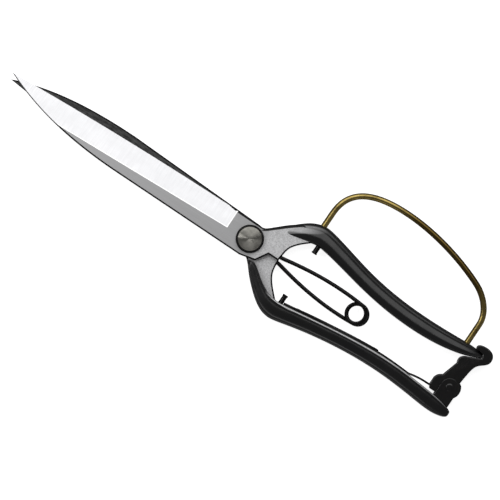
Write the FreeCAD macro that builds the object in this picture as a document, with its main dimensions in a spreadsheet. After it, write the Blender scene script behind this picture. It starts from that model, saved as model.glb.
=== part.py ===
"""Long-bladed one-hand trimming shears with a hairpin spring, a rod hand guard and a tail latch.

Frame: the pivot axis is Z.  +X runs from the pivot to the handles' ends, +Y towards the hand guard and +Z up
from the surface that the closed shears rest on.  Millimetres.  The shears are modelled closed and latched.
"""
import FreeCAD
import Part
import Sketcher
import math
import os

Vec = FreeCAD.Vector
X_AXIS, Y_AXIS, Z_AXIS = Vec(1, 0, 0), Vec(0, 1, 0), Vec(0, 0, 1)

doc = FreeCAD.newDocument("TrimmingShears")

# ---------------------------------------------------------------------------------------------- sizes
SIZES = [
    # blades: lengths run from the pivot axis, depths from the centre line
    ("blade_length", 214.6, "pivot axis to the front blade's tip"),
    ("blade_thickness", 4.8, "each blade and shank"),
    ("blade_gap", 0.1, "running gap between the two flat inner faces"),
    ("edge_land", 0.35, "thickness left at the cutting edge"),
    ("edge_root", 12.2, "cutting edge beside the pivot"),
    ("edge_bow", 1.5, "how far the edge bows out from a straight line"),
    ("plunge_distance", 18.6, "pivot axis to the wall that ends the ground bevel"),
    ("bevel_root", 2.4, "bevel line beside the pivot"),
    ("bevel_end", 9.9, "bevel line where it meets the spine"),
    ("bevel_run", 152.0, "plunge wall to the place where the bevel line meets the spine"),
    ("belly_start", 112.0, "pivot axis to the start of the spine's curve"),
    ("belly_reach", 46.0, "how far the spine keeps its direction into the curve"),
    ("tip_reach_x", 24.6, "how far the curve keeps the tip's direction, along the blade"),
    ("tip_reach_y", 10.3, "and across it"),
    ("front_tip_side", 3.8, "front tip, past the centre line on its edge's side"),
    ("front_spine_root", 14.0, "front spine beside the pivot"),
    ("front_spine_belly", 14.4, "front spine where its curve starts"),
    ("rear_tip_side", 1.0, "rear tip, past the centre line on its edge's side"),
    ("rear_tip_short", 1.4, "rear tip, short of the front one"),
    ("rear_spine_root", 13.1, "rear spine beside the pivot"),
    ("rear_spine_belly", 15.3, "rear spine where its curve starts"),
    # shanks
    ("flank_start", 4.8, "pivot axis to the corner where a shank leaves the blade's line"),
    ("neck_x", 12.1, "corner of the shank's inner edge, along the shears"),
    ("neck_y", 11.1, "and across them"),
    ("throat_start", 17.7, "pivot axis to the level part of the shank's inner edge"),
    ("throat_depth", 26.2, "pivot axis to the throat, where the gap between the handles starts"),
    ("throat_lap", 1.7, "how far each shank reaches past the centre line at the throat"),
    ("throat_swell", 2.9, "how far the throat's wall falls back half way up"),
    # handles
    ("handle_depth", 15.0, "handles, along Z"),
    ("handle_lift", 0.1, "handles' sections, over the surface the shears rest on"),
    ("flank_depth", 12.0, "handles where they swell out of the shanks"),
    ("tail_depth", 14.4, "handles before their ends"),
    ("end_depth", 8.0, "handles at their very ends"),
    ("handle_rounding", 4.6, "corner radius of a handle's section"),
    ("rounding_share", 0.42, "and its limit, as a share of the section's smaller side"),
    ("shank_blend", 20.0, "pivot axis to where a handle's bar grows out of its shank"),
    ("flank_x", 31.0, "half way up the shank's flank"),
    ("shoulder_x", 43.0, "widest place of the handles"),
    ("heel_x", 60.0, "behind the shoulder"),
    ("palm_x", 88.0, "middle of the grip"),
    ("waist_x", 132.0, "narrowest gap between the handles"),
    ("finger_x", 162.0, "where the handles spread again"),
    ("tail_x", 177.0, "before the handles' ends"),
    ("front_end_x", 191.4, "end of the upper handle's beak"),
    ("rear_end_x", 194.6, "end of the lower handle"),
    # spring
    ("wire_diameter", 3.0, "main spring's wire"),
    ("leg_hole_gap", 0.1, "clearance of a leg in its hole, on the diameter"),
    ("leg_hole_depth", 7.0, "how far each leg goes into its shank"),
    ("upper_leg_side", 1.3, "upper leg over the centre line at the throat"),
    ("lower_leg_side", 3.3, "lower leg under the centre line at the throat"),
    ("coil_x", 96.7, "coil's centre"),
    ("coil_y", -1.8, "coil's centre"),
    ("coil_radius", 7.5, "coil's mean radius"),
    ("leg_lean", 5.0, "degrees by which the legs lean towards each other at the coil"),
    ("leg_straight", 1.0, "straight part of a leg outside its hole"),
    ("leg_foot_pull", 3.0, "how far a leg keeps its direction after that"),
    ("leg_coil_pull", 37.0, "how far it keeps its direction before the coil"),
    # pivot
    ("bolt_diameter", 9.0, "bolt's shank"),
    ("bolt_bore_gap", 0.1, "running clearance on the diameter"),
    ("head_diameter", 19.4, "bolt head"),
    ("head_height", 3.6, "bolt head at its centre"),
    ("head_rim", 2.6, "bolt head at its rim"),
    ("head_bevel", 0.6, "broken edge of the head"),
    ("washer_diameter", 21.4, "washer under the head"),
    ("washer_thickness", 1.0, "washer under the head"),
    ("nut_diameter", 18.0, "round nut"),
    ("nut_thickness", 2.0, "round nut"),
    ("nut_bore_gap", 0.06, "clearance of the nut and washers round the bolt, on the diameter"),
    ("nut_washer_thickness", 0.8, "washer over the nut"),
    ("nut_washer_diameter", 20.0, "washer over the nut"),
    ("nut_slot_width", 1.8, "driver slot across the nut"),
    ("nut_slot_depth", 0.9, "driver slot across the nut"),
    # pegs
    ("peg_diameter", 3.8, "stop pegs"),
    ("peg_x", 45.4, "stop pegs, from the pivot axis"),
    ("upper_peg_length", 6.5, "how far the upper peg stands out"),
    ("lower_peg_length", 7.4, "how far the lower peg stands out"),
    ("peg_seat", 5.0, "how far a peg goes into its handle"),
    ("peg_gap", 0.04, "clearance of a peg in its hole, on the diameter"),
    ("peg_cap_diameter", 4.5, "swaged end of a peg"),
    ("peg_cap_length", 0.9, "swaged end of a peg"),
    # guard
    ("guard_rod", 4.7, "brass rod"),
    ("guard_front_x", 40.3, "front foot of the guard"),
    ("guard_rear_x", 176.3, "rear foot of the guard"),
    ("guard_height", 80.7, "rod's centre at the top of the bow"),
    ("guard_front_rise", 50.0, "where the front foot's straight part ends"),
    ("guard_rear_rise", 42.5, "where the rear foot's straight part ends"),
    ("guard_crown_x", 88.0, "highest place of the bow"),
    ("guard_shoulder_x", 157.0, "rear shoulder of the bow"),
    ("guard_shoulder_y", 66.3, "rear shoulder of the bow"),
    ("guard_fall", 22.6, "degrees by which the bow falls at its rear shoulder"),
    ("guard_front_pull", 0.39, "shares of its span over which each curve of the bow keeps its end's direction"),
    ("guard_crown_pull", 0.53, "before the crown"),
    ("guard_top_pull", 0.29, "behind the crown"),
    ("guard_shoulder_pull", 0.35, "before the shoulder"),
    ("guard_fall_pull", 0.39, "behind the shoulder"),
    ("guard_rear_pull", 0.31, "before the rear foot's straight part"),
    ("guard_seat", 6.0, "how far each foot goes into the handle"),
    ("guard_gap", 0.1, "clearance of a foot in its hole, on the diameter"),
    # latch
    ("latch_pin_x", 183.7, "latch pin"),
    ("latch_pin_y", -8.5, "latch pin"),
    ("pin_diameter", 4.0, "latch pin"),
    ("pin_bore_gap", 0.1, "running clearance on the diameter"),
    ("pin_head_diameter", 6.2, "heads of the latch pin"),
    ("pin_head_height", 0.6, "domed head over the upper ear"),
    ("pin_foot_height", 0.4, "low head under the lower ear"),
    ("latch_thickness", 9.0, "lever, along its pin"),
    ("latch_side_gap", 0.25, "between the lever and each ear"),
    ("ear_thickness", 2.2, "bracket's ears"),
    ("ear_half_width", 6.9, "bracket's ears, and the round over the pin"),
    ("ear_wrap", 3.4, "how far the ears reach down over the handle's rounded edge"),
    ("hook_gap", 0.4, "between the lever and the handle's beak"),
    ("heel_radius", 8.8, "lever's round heel about the pin"),
    ("heel_floor_gap", 0.5, "between the heel and the bracket's web"),
    ("heel_toe", 13.6, "how far the heel reaches forward of the pin"),
    ("toe_drop", 5.5, "toe's flat front face, below the pin"),
    # leaf spring
    ("leaf_start", 51.0, "front end of the leaf, from the pivot axis"),
    ("leaf_step", 125.0, "end of its thick root"),
    ("leaf_lift", 153.0, "where the leaf leaves the handle"),
    ("leaf_root", 1.9, "thick root of the leaf"),
    ("leaf_blade", 1.1, "thin blade of the leaf"),
    ("leaf_width", 5.6, "leaf, along Z"),
    ("leaf_gap", 0.5, "between the leaf's free end and the lever's heel"),
    ("leaf_tip_y", -14.5, "free end of the leaf, its upper face"),
    ("leaf_bow", 0.35, "how far the leaf's free length bows down"),
    ("leaf_sink", 0.8, "how far the leaf is drawn into the handle that trims it"),
    # rivets
    ("rivet_diameter", 2.4, "rivets of leaf and bracket"),
    ("rivet_depth", 4.0, "rivets, into the handle"),
    ("rivet_gap", 0.04, "clearance of a rivet in its hole, on the diameter"),
    ("rivet_head_diameter", 3.8, "low head of a leaf rivet"),
    ("rivet_head_height", 0.5, "low head of a leaf rivet"),
    ("rivet_head_lift", 0.03, "under the head, for the leaf's slight curve"),
    ("leaf_rivet_inset", 8.0, "front rivet, behind the leaf's front end"),
    ("leaf_rivet_back", 2.6, "rear rivet, in front of the leaf's step"),
    ("bracket_rivet_spread", 6.6, "between the bracket's two rivets"),
]

# inner and outer face of each handle at each station, from the centre line
FACES = {
    "front": {
        "blend": (17.6, 26.0), "flank": (20.2, 35.3), "shoulder": (23.6, 39.0), "heel": (21.5, 36.1),
        "palm": (15.9, 29.5), "waist": (11.4, 24.9), "finger": (13.3, 25.5), "tail": (16.5, 26.4),
        "end": (23.0, 24.8),
    },
    "rear": {
        "blend": (17.4, 28.3), "flank": (24.0, 37.2), "shoulder": (26.9, 41.0), "heel": (24.9, 37.4),
        "palm": (20.8, 32.1), "waist": (16.9, 28.7), "finger": (18.1, 30.2), "tail": (19.4, 31.4),
        "end": (24.2, 27.4),
    },
}

# sizes that follow from the others
DERIVED = [
    ("rear_bottom", "=nut_thickness + nut_washer_thickness", "rear plate's underside"),
    ("shear_level", "=rear_bottom + blade_thickness", "rear plate's top"),
    ("front_bottom", "=shear_level + blade_gap", "front plate's underside"),
    ("front_top", "=front_bottom + blade_thickness", "front plate's top"),
    ("front_middle", "=front_bottom + blade_thickness / 2", "middle of the front plate"),
    ("rear_middle", "=rear_bottom + blade_thickness / 2", "middle of the rear plate"),
    ("handle_middle", "=handle_depth / 2 + handle_lift", "middle of the handles"),
    ("bolt_radius", "=bolt_diameter / 2", "bolt"),
    ("bolt_bore", "=bolt_diameter + bolt_bore_gap", "bore of both halves"),
    ("nut_bore", "=bolt_diameter + nut_bore_gap", "bore of nut and washers"),
    ("head_seat", "=front_top + washer_thickness", "underside of the bolt head"),
    ("head_radius", "=head_diameter / 2", "bolt head"),
    ("head_face_radius", "=head_radius - head_bevel", "bolt head"),
    ("head_rim_top", "=head_seat + head_rim", "bolt head"),
    ("head_rim_low", "=head_rim_top - head_bevel", "bolt head"),
    ("head_top", "=head_seat + head_height", "bolt head"),
    ("nut_slot_half", "=nut_slot_width / 2", "driver slot"),
    ("nut_slot_cut", "=2 * nut_slot_depth", "driver slot, half of it below the nut"),
    ("leg_bore", "=wire_diameter + leg_hole_gap", "hole of a spring leg"),
    ("peg_radius", "=peg_diameter / 2", "peg"),
    ("peg_bore", "=peg_diameter + peg_gap", "peg's hole"),
    ("peg_cap_radius", "=peg_cap_diameter / 2", "peg"),
    ("upper_peg_neck", "=upper_peg_length - peg_cap_length", "peg"),
    ("lower_peg_neck", "=lower_peg_length - peg_cap_length", "peg"),
    ("guard_bore", "=guard_rod + guard_gap", "hole of a guard foot"),
    ("pin_radius", "=pin_diameter / 2", "latch pin"),
    ("pin_bore", "=pin_diameter + pin_bore_gap", "latch pin's holes"),
    ("pin_head_radius", "=pin_head_diameter / 2", "latch pin"),
    ("pin_dome_radius", "=pin_head_radius - pin_head_height", "latch pin"),
    ("pin_foot_radius", "=pin_head_radius - pin_foot_height", "latch pin"),
    ("cheeks", "=latch_thickness + 2 * latch_side_gap", "room between the ears"),
    ("stack", "=cheeks + 2 * ear_thickness", "over both ears"),
    ("half_stack", "=stack / 2", "over both ears"),
    ("eye_cut", "=2 * stack", "through both ears"),
    ("pin_dome_top", "=half_stack + pin_head_height", "latch pin"),
    ("pin_foot_low", "=half_stack + pin_foot_height", "latch pin"),
    ("web_drop", "=heel_radius + heel_floor_gap", "pin axis to the bracket's web"),
    ("fork_reach", "=2 * ear_half_width", "beyond the ears on every side"),
    ("rivet_radius", "=rivet_diameter / 2", "rivet"),
    ("rivet_bore", "=rivet_diameter + rivet_gap", "rivet's hole"),
    ("rivet_head_radius", "=rivet_head_diameter / 2", "rivet"),
    ("rivet_head_top", "=rivet_head_lift + rivet_head_height", "rivet"),
    ("root_rivet_low", "=leaf_root + rivet_depth", "leaf rivet, from the leaf's face to its foot"),
    ("leaf_drill_length", "=root_rivet_low + rivet_head_height", "drill of a leaf rivet, from above the leaf"),
]


def make_sheet():
    """Spreadsheet with every size: what it is called, its value and what it means."""
    made = doc.addObject("Spreadsheet::Sheet", "Sizes")
    rows = list(SIZES)
    for half, faces in FACES.items():
        for station, (inner, outer) in faces.items():
            rows.append(("%s_%s_inner" % (half, station), inner, "inner face of the handle"))
            rows.append(("%s_%s_outer" % (half, station), outer, "outer face of the handle"))
    for row, (alias, value, note) in enumerate(rows + DERIVED, start=1):
        made.set("A%d" % row, alias.replace("_", " "))
        made.set("B%d" % row, str(value))
        made.set("C%d" % row, note)
        made.setAlias("B%d" % row, alias)
    return made


sheet = make_sheet()
doc.recompute()


def size(alias):
    """Value of a cell; a leading minus turns its sign."""
    if alias == "0":
        return 0.0
    return -float(sheet.get(alias[1:])) if alias.startswith("-") else float(sheet.get(alias))


def cell(alias):
    """The same cell as an expression."""
    if alias == "0":
        return "0"
    return "-Sizes." + alias[1:] if alias.startswith("-") else "Sizes." + alias


# ------------------------------------------------------------------------------------------- helpers
def at(x=0.0, y=0.0, z=0.0, axis=Z_AXIS, angle=0.0):
    return FreeCAD.Placement(Vec(x, y, z), FreeCAD.Rotation(axis, angle))


def add(kind, name, **values):
    made = doc.addObject(kind, name)
    for key, value in values.items():
        setattr(made, key, value)
    return made


def shape_of(name, shape):
    """Object for a wire or face that no sketch or primitive draws."""
    return add("Part::Feature", name, Shape=shape)


def cut(name, base, *tools):
    """Base without the tools."""
    tool = tools[0] if len(tools) == 1 else add("Part::MultiFuse", name + "_tools", Shapes=list(tools))
    return add("Part::Cut", name, Base=base, Tool=tool)


def cylinder(name, diameter, height, place):
    """Cylinder whose diameter and height are cells."""
    made = add("Part::Cylinder", name, Placement=place)
    made.setExpression("Radius", cell(diameter) + " / 2")
    made.setExpression("Height", cell(height))
    return made


def cross_drill(name, diameter, x, y, towards):
    """Drill along Y through x at the handles' middle level: it starts at y and runs towards +Y or -Y."""
    return cylinder(name, diameter, "handle_depth", at(x, y, size("handle_middle"), X_AXIS, -90 * towards))


def extrude(name, outline, height, z):
    """Solid of the given height over an outline, from level z up."""
    made = add("Part::Extrusion", name, Base=outline, DirMode="Custom", Dir=Z_AXIS, Solid=True)
    made.Placement = at(z=z)
    made.setExpression("LengthFwd", cell(height))
    return made


def face_of(edges):
    return Part.Face(Part.Wire(edges))


def polyline(*points):
    """Straight edges through the points."""
    return [Part.LineSegment(a, b).toShape() for a, b in zip(points, points[1:])]


def arc(*points):
    return Part.Arc(*points).toShape()


def spline(*points):
    """One smooth edge through the points."""
    curve = Part.BSplineCurve()
    curve.interpolate(Points=list(points))
    return curve.toShape()


def bezier(*poles):
    curve = Part.BezierCurve()
    curve.setPoles(list(poles))
    return curve.toShape()


# ------------------------------------------------------------------------------- pieces made by sketch
def body(label, place):
    return add("PartDesign::Body", label, Placement=place)


def sketch(owner, name):
    """Empty sketch on the XY plane of its own body."""
    made = owner.newObject("Sketcher::SketchObject", name)
    ground = next(o for o in owner.Origin.OriginFeatures if o.Role == "XY_Plane")
    made.AttachmentSupport = (ground, "")
    made.MapMode = "FlatFace"
    made.Visibility = False
    return made


def bind(made, rule, alias):
    """Add a sketch rule whose value is a cell."""
    made.setExpression("Constraints[%d]" % made.addConstraint(rule), cell(alias))


def outline(owner, name, corners):
    """Closed outline of straight lines; each corner is a pair of cells."""
    made = sketch(owner, name)
    points = [Vec(size(a), size(b)) for a, b in corners]
    count = len(points)
    for index, point in enumerate(points):
        made.addGeometry(Part.LineSegment(point, points[(index + 1) % count]), False)
    for index in range(count):
        made.addConstraint(Sketcher.Constraint("Coincident", index, 2, (index + 1) % count, 1))
    for index, (a, b) in enumerate(corners):
        for kind, alias in (("X", a), ("Y", b)):
            if alias == "0":
                on_axis = -2 if kind == "X" else -1
                made.addConstraint(Sketcher.Constraint("PointOnObject", index, 1, on_axis))
            else:
                rule = Sketcher.Constraint("Distance" + kind, -1, 1, index, 1, size(alias))
                bind(made, rule, alias)
    return made


def circles(owner, name, *diameters):
    """Concentric circles; each diameter is a cell."""
    made = sketch(owner, name)
    for index, alias in enumerate(diameters):
        made.addGeometry(Part.Circle(Vec(), Z_AXIS, size(alias) / 2.0), False)
        made.addConstraint(Sketcher.Constraint("Coincident", index, 3, -1, 1))
        bind(made, Sketcher.Constraint("Diameter", index, size(alias)), alias)
    return made


def turned(label, corners, place):
    """Turned piece: its outline, with Y as the axis, revolved a whole turn."""
    made = body(label, place)
    drawn = outline(made, label + "_profile", corners)
    spun = made.newObject("PartDesign::Revolution", label + "_turning")
    spun.Profile = drawn
    spun.ReferenceAxis = (drawn, ["V_Axis"])
    spun.Angle = 360.0
    return made


def pad(owner, drawn, name, length, both_ways=False):
    made = owner.newObject("PartDesign::Pad", name)
    made.Profile = drawn
    made.Midplane = both_ways
    made.setExpression("Length", cell(length))
    return made


def pocket(owner, drawn, name, length):
    """Cut that reaches half its length to each side of the sketch."""
    made = owner.newObject("PartDesign::Pocket", name)
    made.Profile = drawn
    made.Midplane = True
    made.setExpression("Length", cell(length))
    return made


def ring(label, outer, inner, height, level):
    made = body(label, at())
    made.setExpression("Placement.Base.z", cell(level))
    pad(made, circles(made, label + "_ring", outer, inner), label + "_pad", height)
    return made


# --------------------------------------------------------------------------------------------- halves
# Each half is drawn as the front one.  side is +1 for the front half and -1 for the rear half, whose handle
# lies on the other side of the centre line.
STATIONS = ["blend", "flank", "shoulder", "heel", "palm", "waist", "finger", "tail", "end"]


def station_x(half, station):
    if station == "blend":
        return size("shank_blend")
    return size(half + "_end_x") if station == "end" else size(station + "_x")


def station_face(half, station, face):
    return size("%s_%s_%s" % (half, station, face))


def wall(half, x, face):
    """Distance of a handle's face from the centre line at x, between the stations."""
    curve = Part.BSplineCurve()
    curve.interpolate(Points=[Vec(station_x(half, name), station_face(half, name, face)) for name in STATIONS])
    low, high = curve.FirstParameter, curve.LastParameter
    for _ in range(40):
        middle = (low + high) / 2.0
        if curve.value(middle).x < x:
            low = middle
        else:
            high = middle
    return curve.value(low).y


def wall_slope(half, x, face):
    """Slope of that face at x, in degrees."""
    reach = 1.0
    rise = wall(half, x + reach, face) - wall(half, x - reach, face)
    return math.degrees(math.atan(rise / (2 * reach)))


def tip_point(half):
    short = size("rear_tip_short") if half == "rear" else 0.0
    return Vec(short - size("blade_length"), size(half + "_tip_side"))


def blank(half, side):
    """Flat outline of one half: blade, pivot eye and shank up to the shoulder of its handle."""
    tip = tip_point(half)
    root = Vec(-size("plunge_distance"), size("edge_root"))
    edge_middle = (root + tip) * 0.5 + Vec(0, size("edge_bow"))
    corner = Vec(size("flank_start"), size("edge_root"))
    inset = size("handle_rounding") / 2.0
    foot = Vec(size("shank_blend"), station_face(half, "blend", "outer"))
    flank = Vec(size("flank_x"), station_face(half, "flank", "outer") - inset / 2.0)
    top = Vec(size("shoulder_x"), station_face(half, "shoulder", "outer") - inset)
    inside = Vec(size("shoulder_x"), station_face(half, "shoulder", "inner") + inset)
    throat_wall = Vec(size("throat_depth") + size("throat_swell"), station_face(half, "shoulder", "inner") / 2.0)
    throat = Vec(size("throat_depth"), -size("throat_lap"))
    level = Vec(size("throat_start"), -size("throat_lap"))
    neck = Vec(size("neck_x"), -size("neck_y"))
    spine_root = Vec(0, -size(half + "_spine_root"))
    spine_belly = Vec(-size("belly_start"), -size(half + "_spine_belly"))
    belly = spine_belly - Vec(size("belly_reach"), 0)
    rise = tip + Vec(size("tip_reach_x"), -size("tip_reach_y"))

    def turn(*points):
        return [Vec(p.x, side * p.y) for p in points]

    return shape_of(half + "_blank", face_of([
        arc(*turn(tip, edge_middle, root)),
        *polyline(*turn(root, corner)),
        spline(*turn(corner, foot, flank, top)),
        *polyline(*turn(top, inside)),
        spline(*turn(inside, throat_wall, throat)),
        *polyline(*turn(throat, level, neck, spine_root, spine_belly)),
        bezier(*turn(spine_belly, belly, rise, tip)),
    ]))


def bevel_wedge(half, side, flat_level, facing):
    """What the ground bevel takes off: a ruled wedge from the plunge wall to beyond the tip.

    flat_level is the blade's flat inner face; facing is +1 where the bevel looks up and -1 where it looks down."""
    spare = 6.0
    start_x = -size("plunge_distance")
    length = size("blade_length") - size("plunge_distance")
    line_slope = (size("bevel_end") - size("bevel_root")) / size("bevel_run")
    edge_slope = (size("edge_root") - size(half + "_tip_side")) / length
    low = flat_level + facing * size("edge_land")
    high = flat_level + facing * size("blade_thickness")
    beyond = high + facing * spare
    sections = []
    for index, along in enumerate((0.0, length + spare)):
        line = -side * (size("bevel_root") + line_slope * along)
        edge = side * (size("edge_root") + size("edge_bow") - edge_slope * along)
        out = edge + side * spare
        x = start_x - along
        corners = [Vec(x, line, high), Vec(x, edge, low), Vec(x, out, low), Vec(x, out, beyond), Vec(x, line, beyond)]
        sections.append(shape_of("%s_bevel_%d" % (half, index), Part.Wire(polyline(*corners, corners[0]))))
    return add("Part::Loft", half + "_bevel", Sections=sections, Solid=True, Ruled=True)


def bar_section(name, x, inner, outer, depth, middle):
    """Rounded rectangle across a handle, in a plane of constant x."""
    low, high = min(inner, outer), max(inner, outer)
    bottom, top = middle - depth / 2.0, middle + depth / 2.0
    radius = min(size("handle_rounding"), size("rounding_share") * min(high - low, depth))
    bend = radius * (1.0 - math.sqrt(0.5))
    points = [Vec(x, y, z) for y, z in (
        (low + radius, bottom), (high - radius, bottom), (high - bend, bottom + bend), (high, bottom + radius),
        (high, top - radius), (high - bend, top - bend), (high - radius, top), (low + radius, top),
        (low + bend, top - bend), (low, top - radius), (low, bottom + radius), (low + bend, bottom + bend))]
    edges = []
    for corner in range(4):
        start = 3 * corner
        edges += polyline(points[start], points[start + 1])
        edges.append(arc(points[start + 1], points[start + 2], points[(start + 3) % 12]))
    return shape_of(name, Part.Wire(edges))


def handle_bar(half, side, plate_middle):
    """Forged bar of a handle: it grows out of the shank's plate and has its full depth from the shoulder on."""
    depths = {"blend": "blade_thickness", "flank": "flank_depth", "tail": "tail_depth", "end": "end_depth"}
    sections = []
    for station in STATIONS:
        inner, outer = (side * station_face(half, station, face) for face in ("inner", "outer"))
        depth = size(depths.get(station, "handle_depth"))
        middle = plate_middle if station == "blend" else size("handle_middle")
        x = station_x(half, station)
        sections.append(bar_section("%s_bar_%s" % (half, station), x, inner, outer, depth, middle))
    return add("Part::Loft", half + "_bar", Sections=sections, Solid=True, Ruled=False, MaxDegree=3)


def forging(half, side, bottom, flat_level, facing):
    """Plate with its ground bevel, joined with the handle's bar."""
    plate = extrude(half + "_plate", blank(half, side), "blade_thickness", size(bottom))
    ground = cut(half + "_ground", plate, bevel_wedge(half, side, size(flat_level), facing))
    bar = handle_bar(half, side, size(half + "_middle"))
    return add("Part::MultiFuse", half + "_forging", Shapes=[ground, bar])


def leg_drill(half, leg_y):
    """Hole for a spring leg, in from the throat."""
    start = size("throat_depth") - size("leg_hole_depth")
    return cylinder(half + "_leg_drill", "leg_bore", "handle_depth",
                    at(start, leg_y, size(half + "_middle"), Y_AXIS, 90))


def make_front_half(forged):
    bore = cylinder("front_bore", "bolt_bore", "handle_depth", at(z=size("rear_bottom")))
    peg = cross_drill("front_peg_drill", "peg_bore", size("peg_x"), UPPER_PEG_Y + size("peg_seat"), -1)
    feet = [
        cross_drill("guard_drill_%d" % index, "guard_bore", x, wall("front", x, "outer") - size("guard_seat"), 1)
        for index, x in enumerate((size("guard_front_x"), size("guard_rear_x")))]
    return cut("front_half", forged, bore, leg_drill("front", size("upper_leg_side")), peg, *feet)


def make_rear_half(forged, rivet_drills):
    bore = cylinder("rear_bore", "bolt_bore", "handle_depth", at())
    peg = cross_drill("rear_peg_drill", "peg_bore", size("peg_x"), LOWER_PEG_Y - size("peg_seat"), 1)
    return cut("rear_half", forged, bore, leg_drill("rear", -size("lower_leg_side")), peg, *rivet_drills)


# ---------------------------------------------------------------------------------------------- pivot
def make_pivot():
    turned("pivot_bolt", [
        ("0", "0"), ("bolt_radius", "0"), ("bolt_radius", "head_seat"), ("head_radius", "head_seat"),
        ("head_radius", "head_rim_low"), ("head_face_radius", "head_rim_top"), ("0", "head_top"),
    ], at(axis=X_AXIS, angle=90))
    ring("bolt_washer", "washer_diameter", "nut_bore", "washer_thickness", "front_top")
    ring("nut_washer", "nut_washer_diameter", "nut_bore", "nut_washer_thickness", "nut_thickness")
    nut = ring("pivot_nut", "nut_diameter", "nut_bore", "nut_thickness", "0")
    slot = outline(nut, "nut_slot", [
        ("-nut_diameter", "-nut_slot_half"), ("nut_diameter", "-nut_slot_half"),
        ("nut_diameter", "nut_slot_half"), ("-nut_diameter", "nut_slot_half")])
    pocket(nut, slot, "nut_slotting", "nut_slot_cut")


# --------------------------------------------------------------------------------------- wire and rod
def swept(label, edges, diameter, start, direction):
    """Round wire or rod along a path of joined edges."""
    path = shape_of(label + "_path", Part.Wire(edges))
    section = add("Part::Circle", label + "_section")
    section.Placement = FreeCAD.Placement(start, FreeCAD.Rotation(Z_AXIS, direction))
    section.setExpression("Radius", cell(diameter) + " / 2")
    made = add("Part::Sweep", label, Sections=[section], Solid=True, Frenet=False)
    made.Spine = (path, ["Edge%d" % (index + 1) for index in range(len(edges))])
    return made


def make_main_spring():
    """One leg in the middle of each shank's plate; the coil's one and a half turns drop from one to the other."""
    high, low = size("front_middle"), size("rear_middle")
    centre = Vec(size("coil_x"), size("coil_y"))
    lean = math.radians(size("leg_lean"))
    hole_end = size("throat_depth") - size("leg_hole_depth")
    mouth_x = size("throat_depth") + size("leg_straight")
    # each half turn drops by two of these steps
    step = (high - low) / 4.0

    def coil(angle, z, radius=size("coil_radius")):
        return centre + Vec(radius * math.cos(angle), radius * math.sin(angle), z)

    def leg(side, y, z):
        """Points of a leg from its end in the shank to the coil: end, mouth, two pulls, foot on the coil."""
        foot = coil(side * (math.pi / 2 - lean), z)
        mouth = Vec(mouth_x, y, z)
        arrival = Vec(math.cos(lean), -side * math.sin(lean))
        return [Vec(hole_end, y, z), mouth, mouth + X_AXIS * size("leg_foot_pull"),
                foot - arrival * size("leg_coil_pull"), foot]

    upper = leg(1, size("upper_leg_side"), high)
    lower = leg(-1, -size("lower_leg_side"), low)
    half_lean = (math.pi / 2 - lean) / 2.0
    # a tilted half turn is a little wider than the coil, so that it meets its neighbours without a kink
    tilted = math.hypot(size("coil_radius"), step)
    return swept("main_spring", [
        *polyline(upper[0], upper[1]),
        bezier(*upper[1:]),
        arc(upper[4], coil(half_lean, high), coil(0, high)),
        arc(coil(0, high), coil(-math.pi / 2, high - step, tilted), coil(math.pi, high - 2 * step)),
        arc(coil(math.pi, low + 2 * step), coil(math.pi / 2, low + step, tilted), coil(0, low)),
        arc(coil(0, low), coil(-half_lean, low), lower[4]),
        bezier(*lower[:0:-1]),
        *polyline(lower[1], lower[0]),
    ], "wire_diameter", upper[0], X_AXIS)


def make_hand_guard():
    """Bent rod: two straight feet, a round front corner and a bow that falls towards the tail."""
    middle = size("handle_middle")
    front_x, rear_x = size("guard_front_x"), size("guard_rear_x")
    seats = [Vec(x, wall("front", x, "outer") - size("guard_seat"), middle) for x in (front_x, rear_x)]
    rise = Vec(front_x, size("guard_front_rise"), middle)
    crown = Vec(size("guard_crown_x"), size("guard_height"), middle)
    shoulder = Vec(size("guard_shoulder_x"), size("guard_shoulder_y"), middle)
    drop = Vec(rear_x, size("guard_rear_rise"), middle)
    fall = math.radians(size("guard_fall"))
    falling = Vec(math.cos(fall), -math.sin(fall))

    def bend(start, leaving, end, arriving, first, last):
        """Curve that keeps its direction over a share of its span at either end."""
        span = (end - start).Length
        return bezier(start, start + leaving * span * size(first), end - arriving * span * size(last), end)

    return swept("hand_guard", [
        *polyline(seats[0], rise),
        bend(rise, Y_AXIS, crown, X_AXIS, "guard_front_pull", "guard_crown_pull"),
        bend(crown, X_AXIS, shoulder, falling, "guard_top_pull", "guard_shoulder_pull"),
        bend(shoulder, falling, drop, -Y_AXIS, "guard_fall_pull", "guard_rear_pull"),
        *polyline(drop, seats[1]),
    ], "guard_rod", seats[0], Y_AXIS)


# ----------------------------------------------------------------------------------------------- pegs
def make_peg(label, length, neck, y, angle):
    """Peg let into a handle's inner face at y; angle 0 points it to +Y."""
    return turned(label, [
        ("0", "-peg_seat"), ("peg_radius", "-peg_seat"), ("peg_radius", neck), ("peg_cap_radius", neck),
        ("peg_cap_radius", length), ("0", length),
    ], at(size("peg_x"), y, size("handle_middle"), Z_AXIS, angle))


# ---------------------------------------------------------------------------------------------- latch
PIN = Vec(size("latch_pin_x"), size("latch_pin_y"))
TOE_RADIUS = math.hypot(size("heel_toe"), size("toe_drop"))
UPPER_PEG_Y = wall("front", size("peg_x"), "inner")
LOWER_PEG_Y = -wall("rear", size("peg_x"), "inner")


def on_pin(radius, degrees):
    """Point at a radius about the latch pin."""
    return PIN + Vec(radius * math.cos(math.radians(degrees)), radius * math.sin(math.radians(degrees)))


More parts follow.
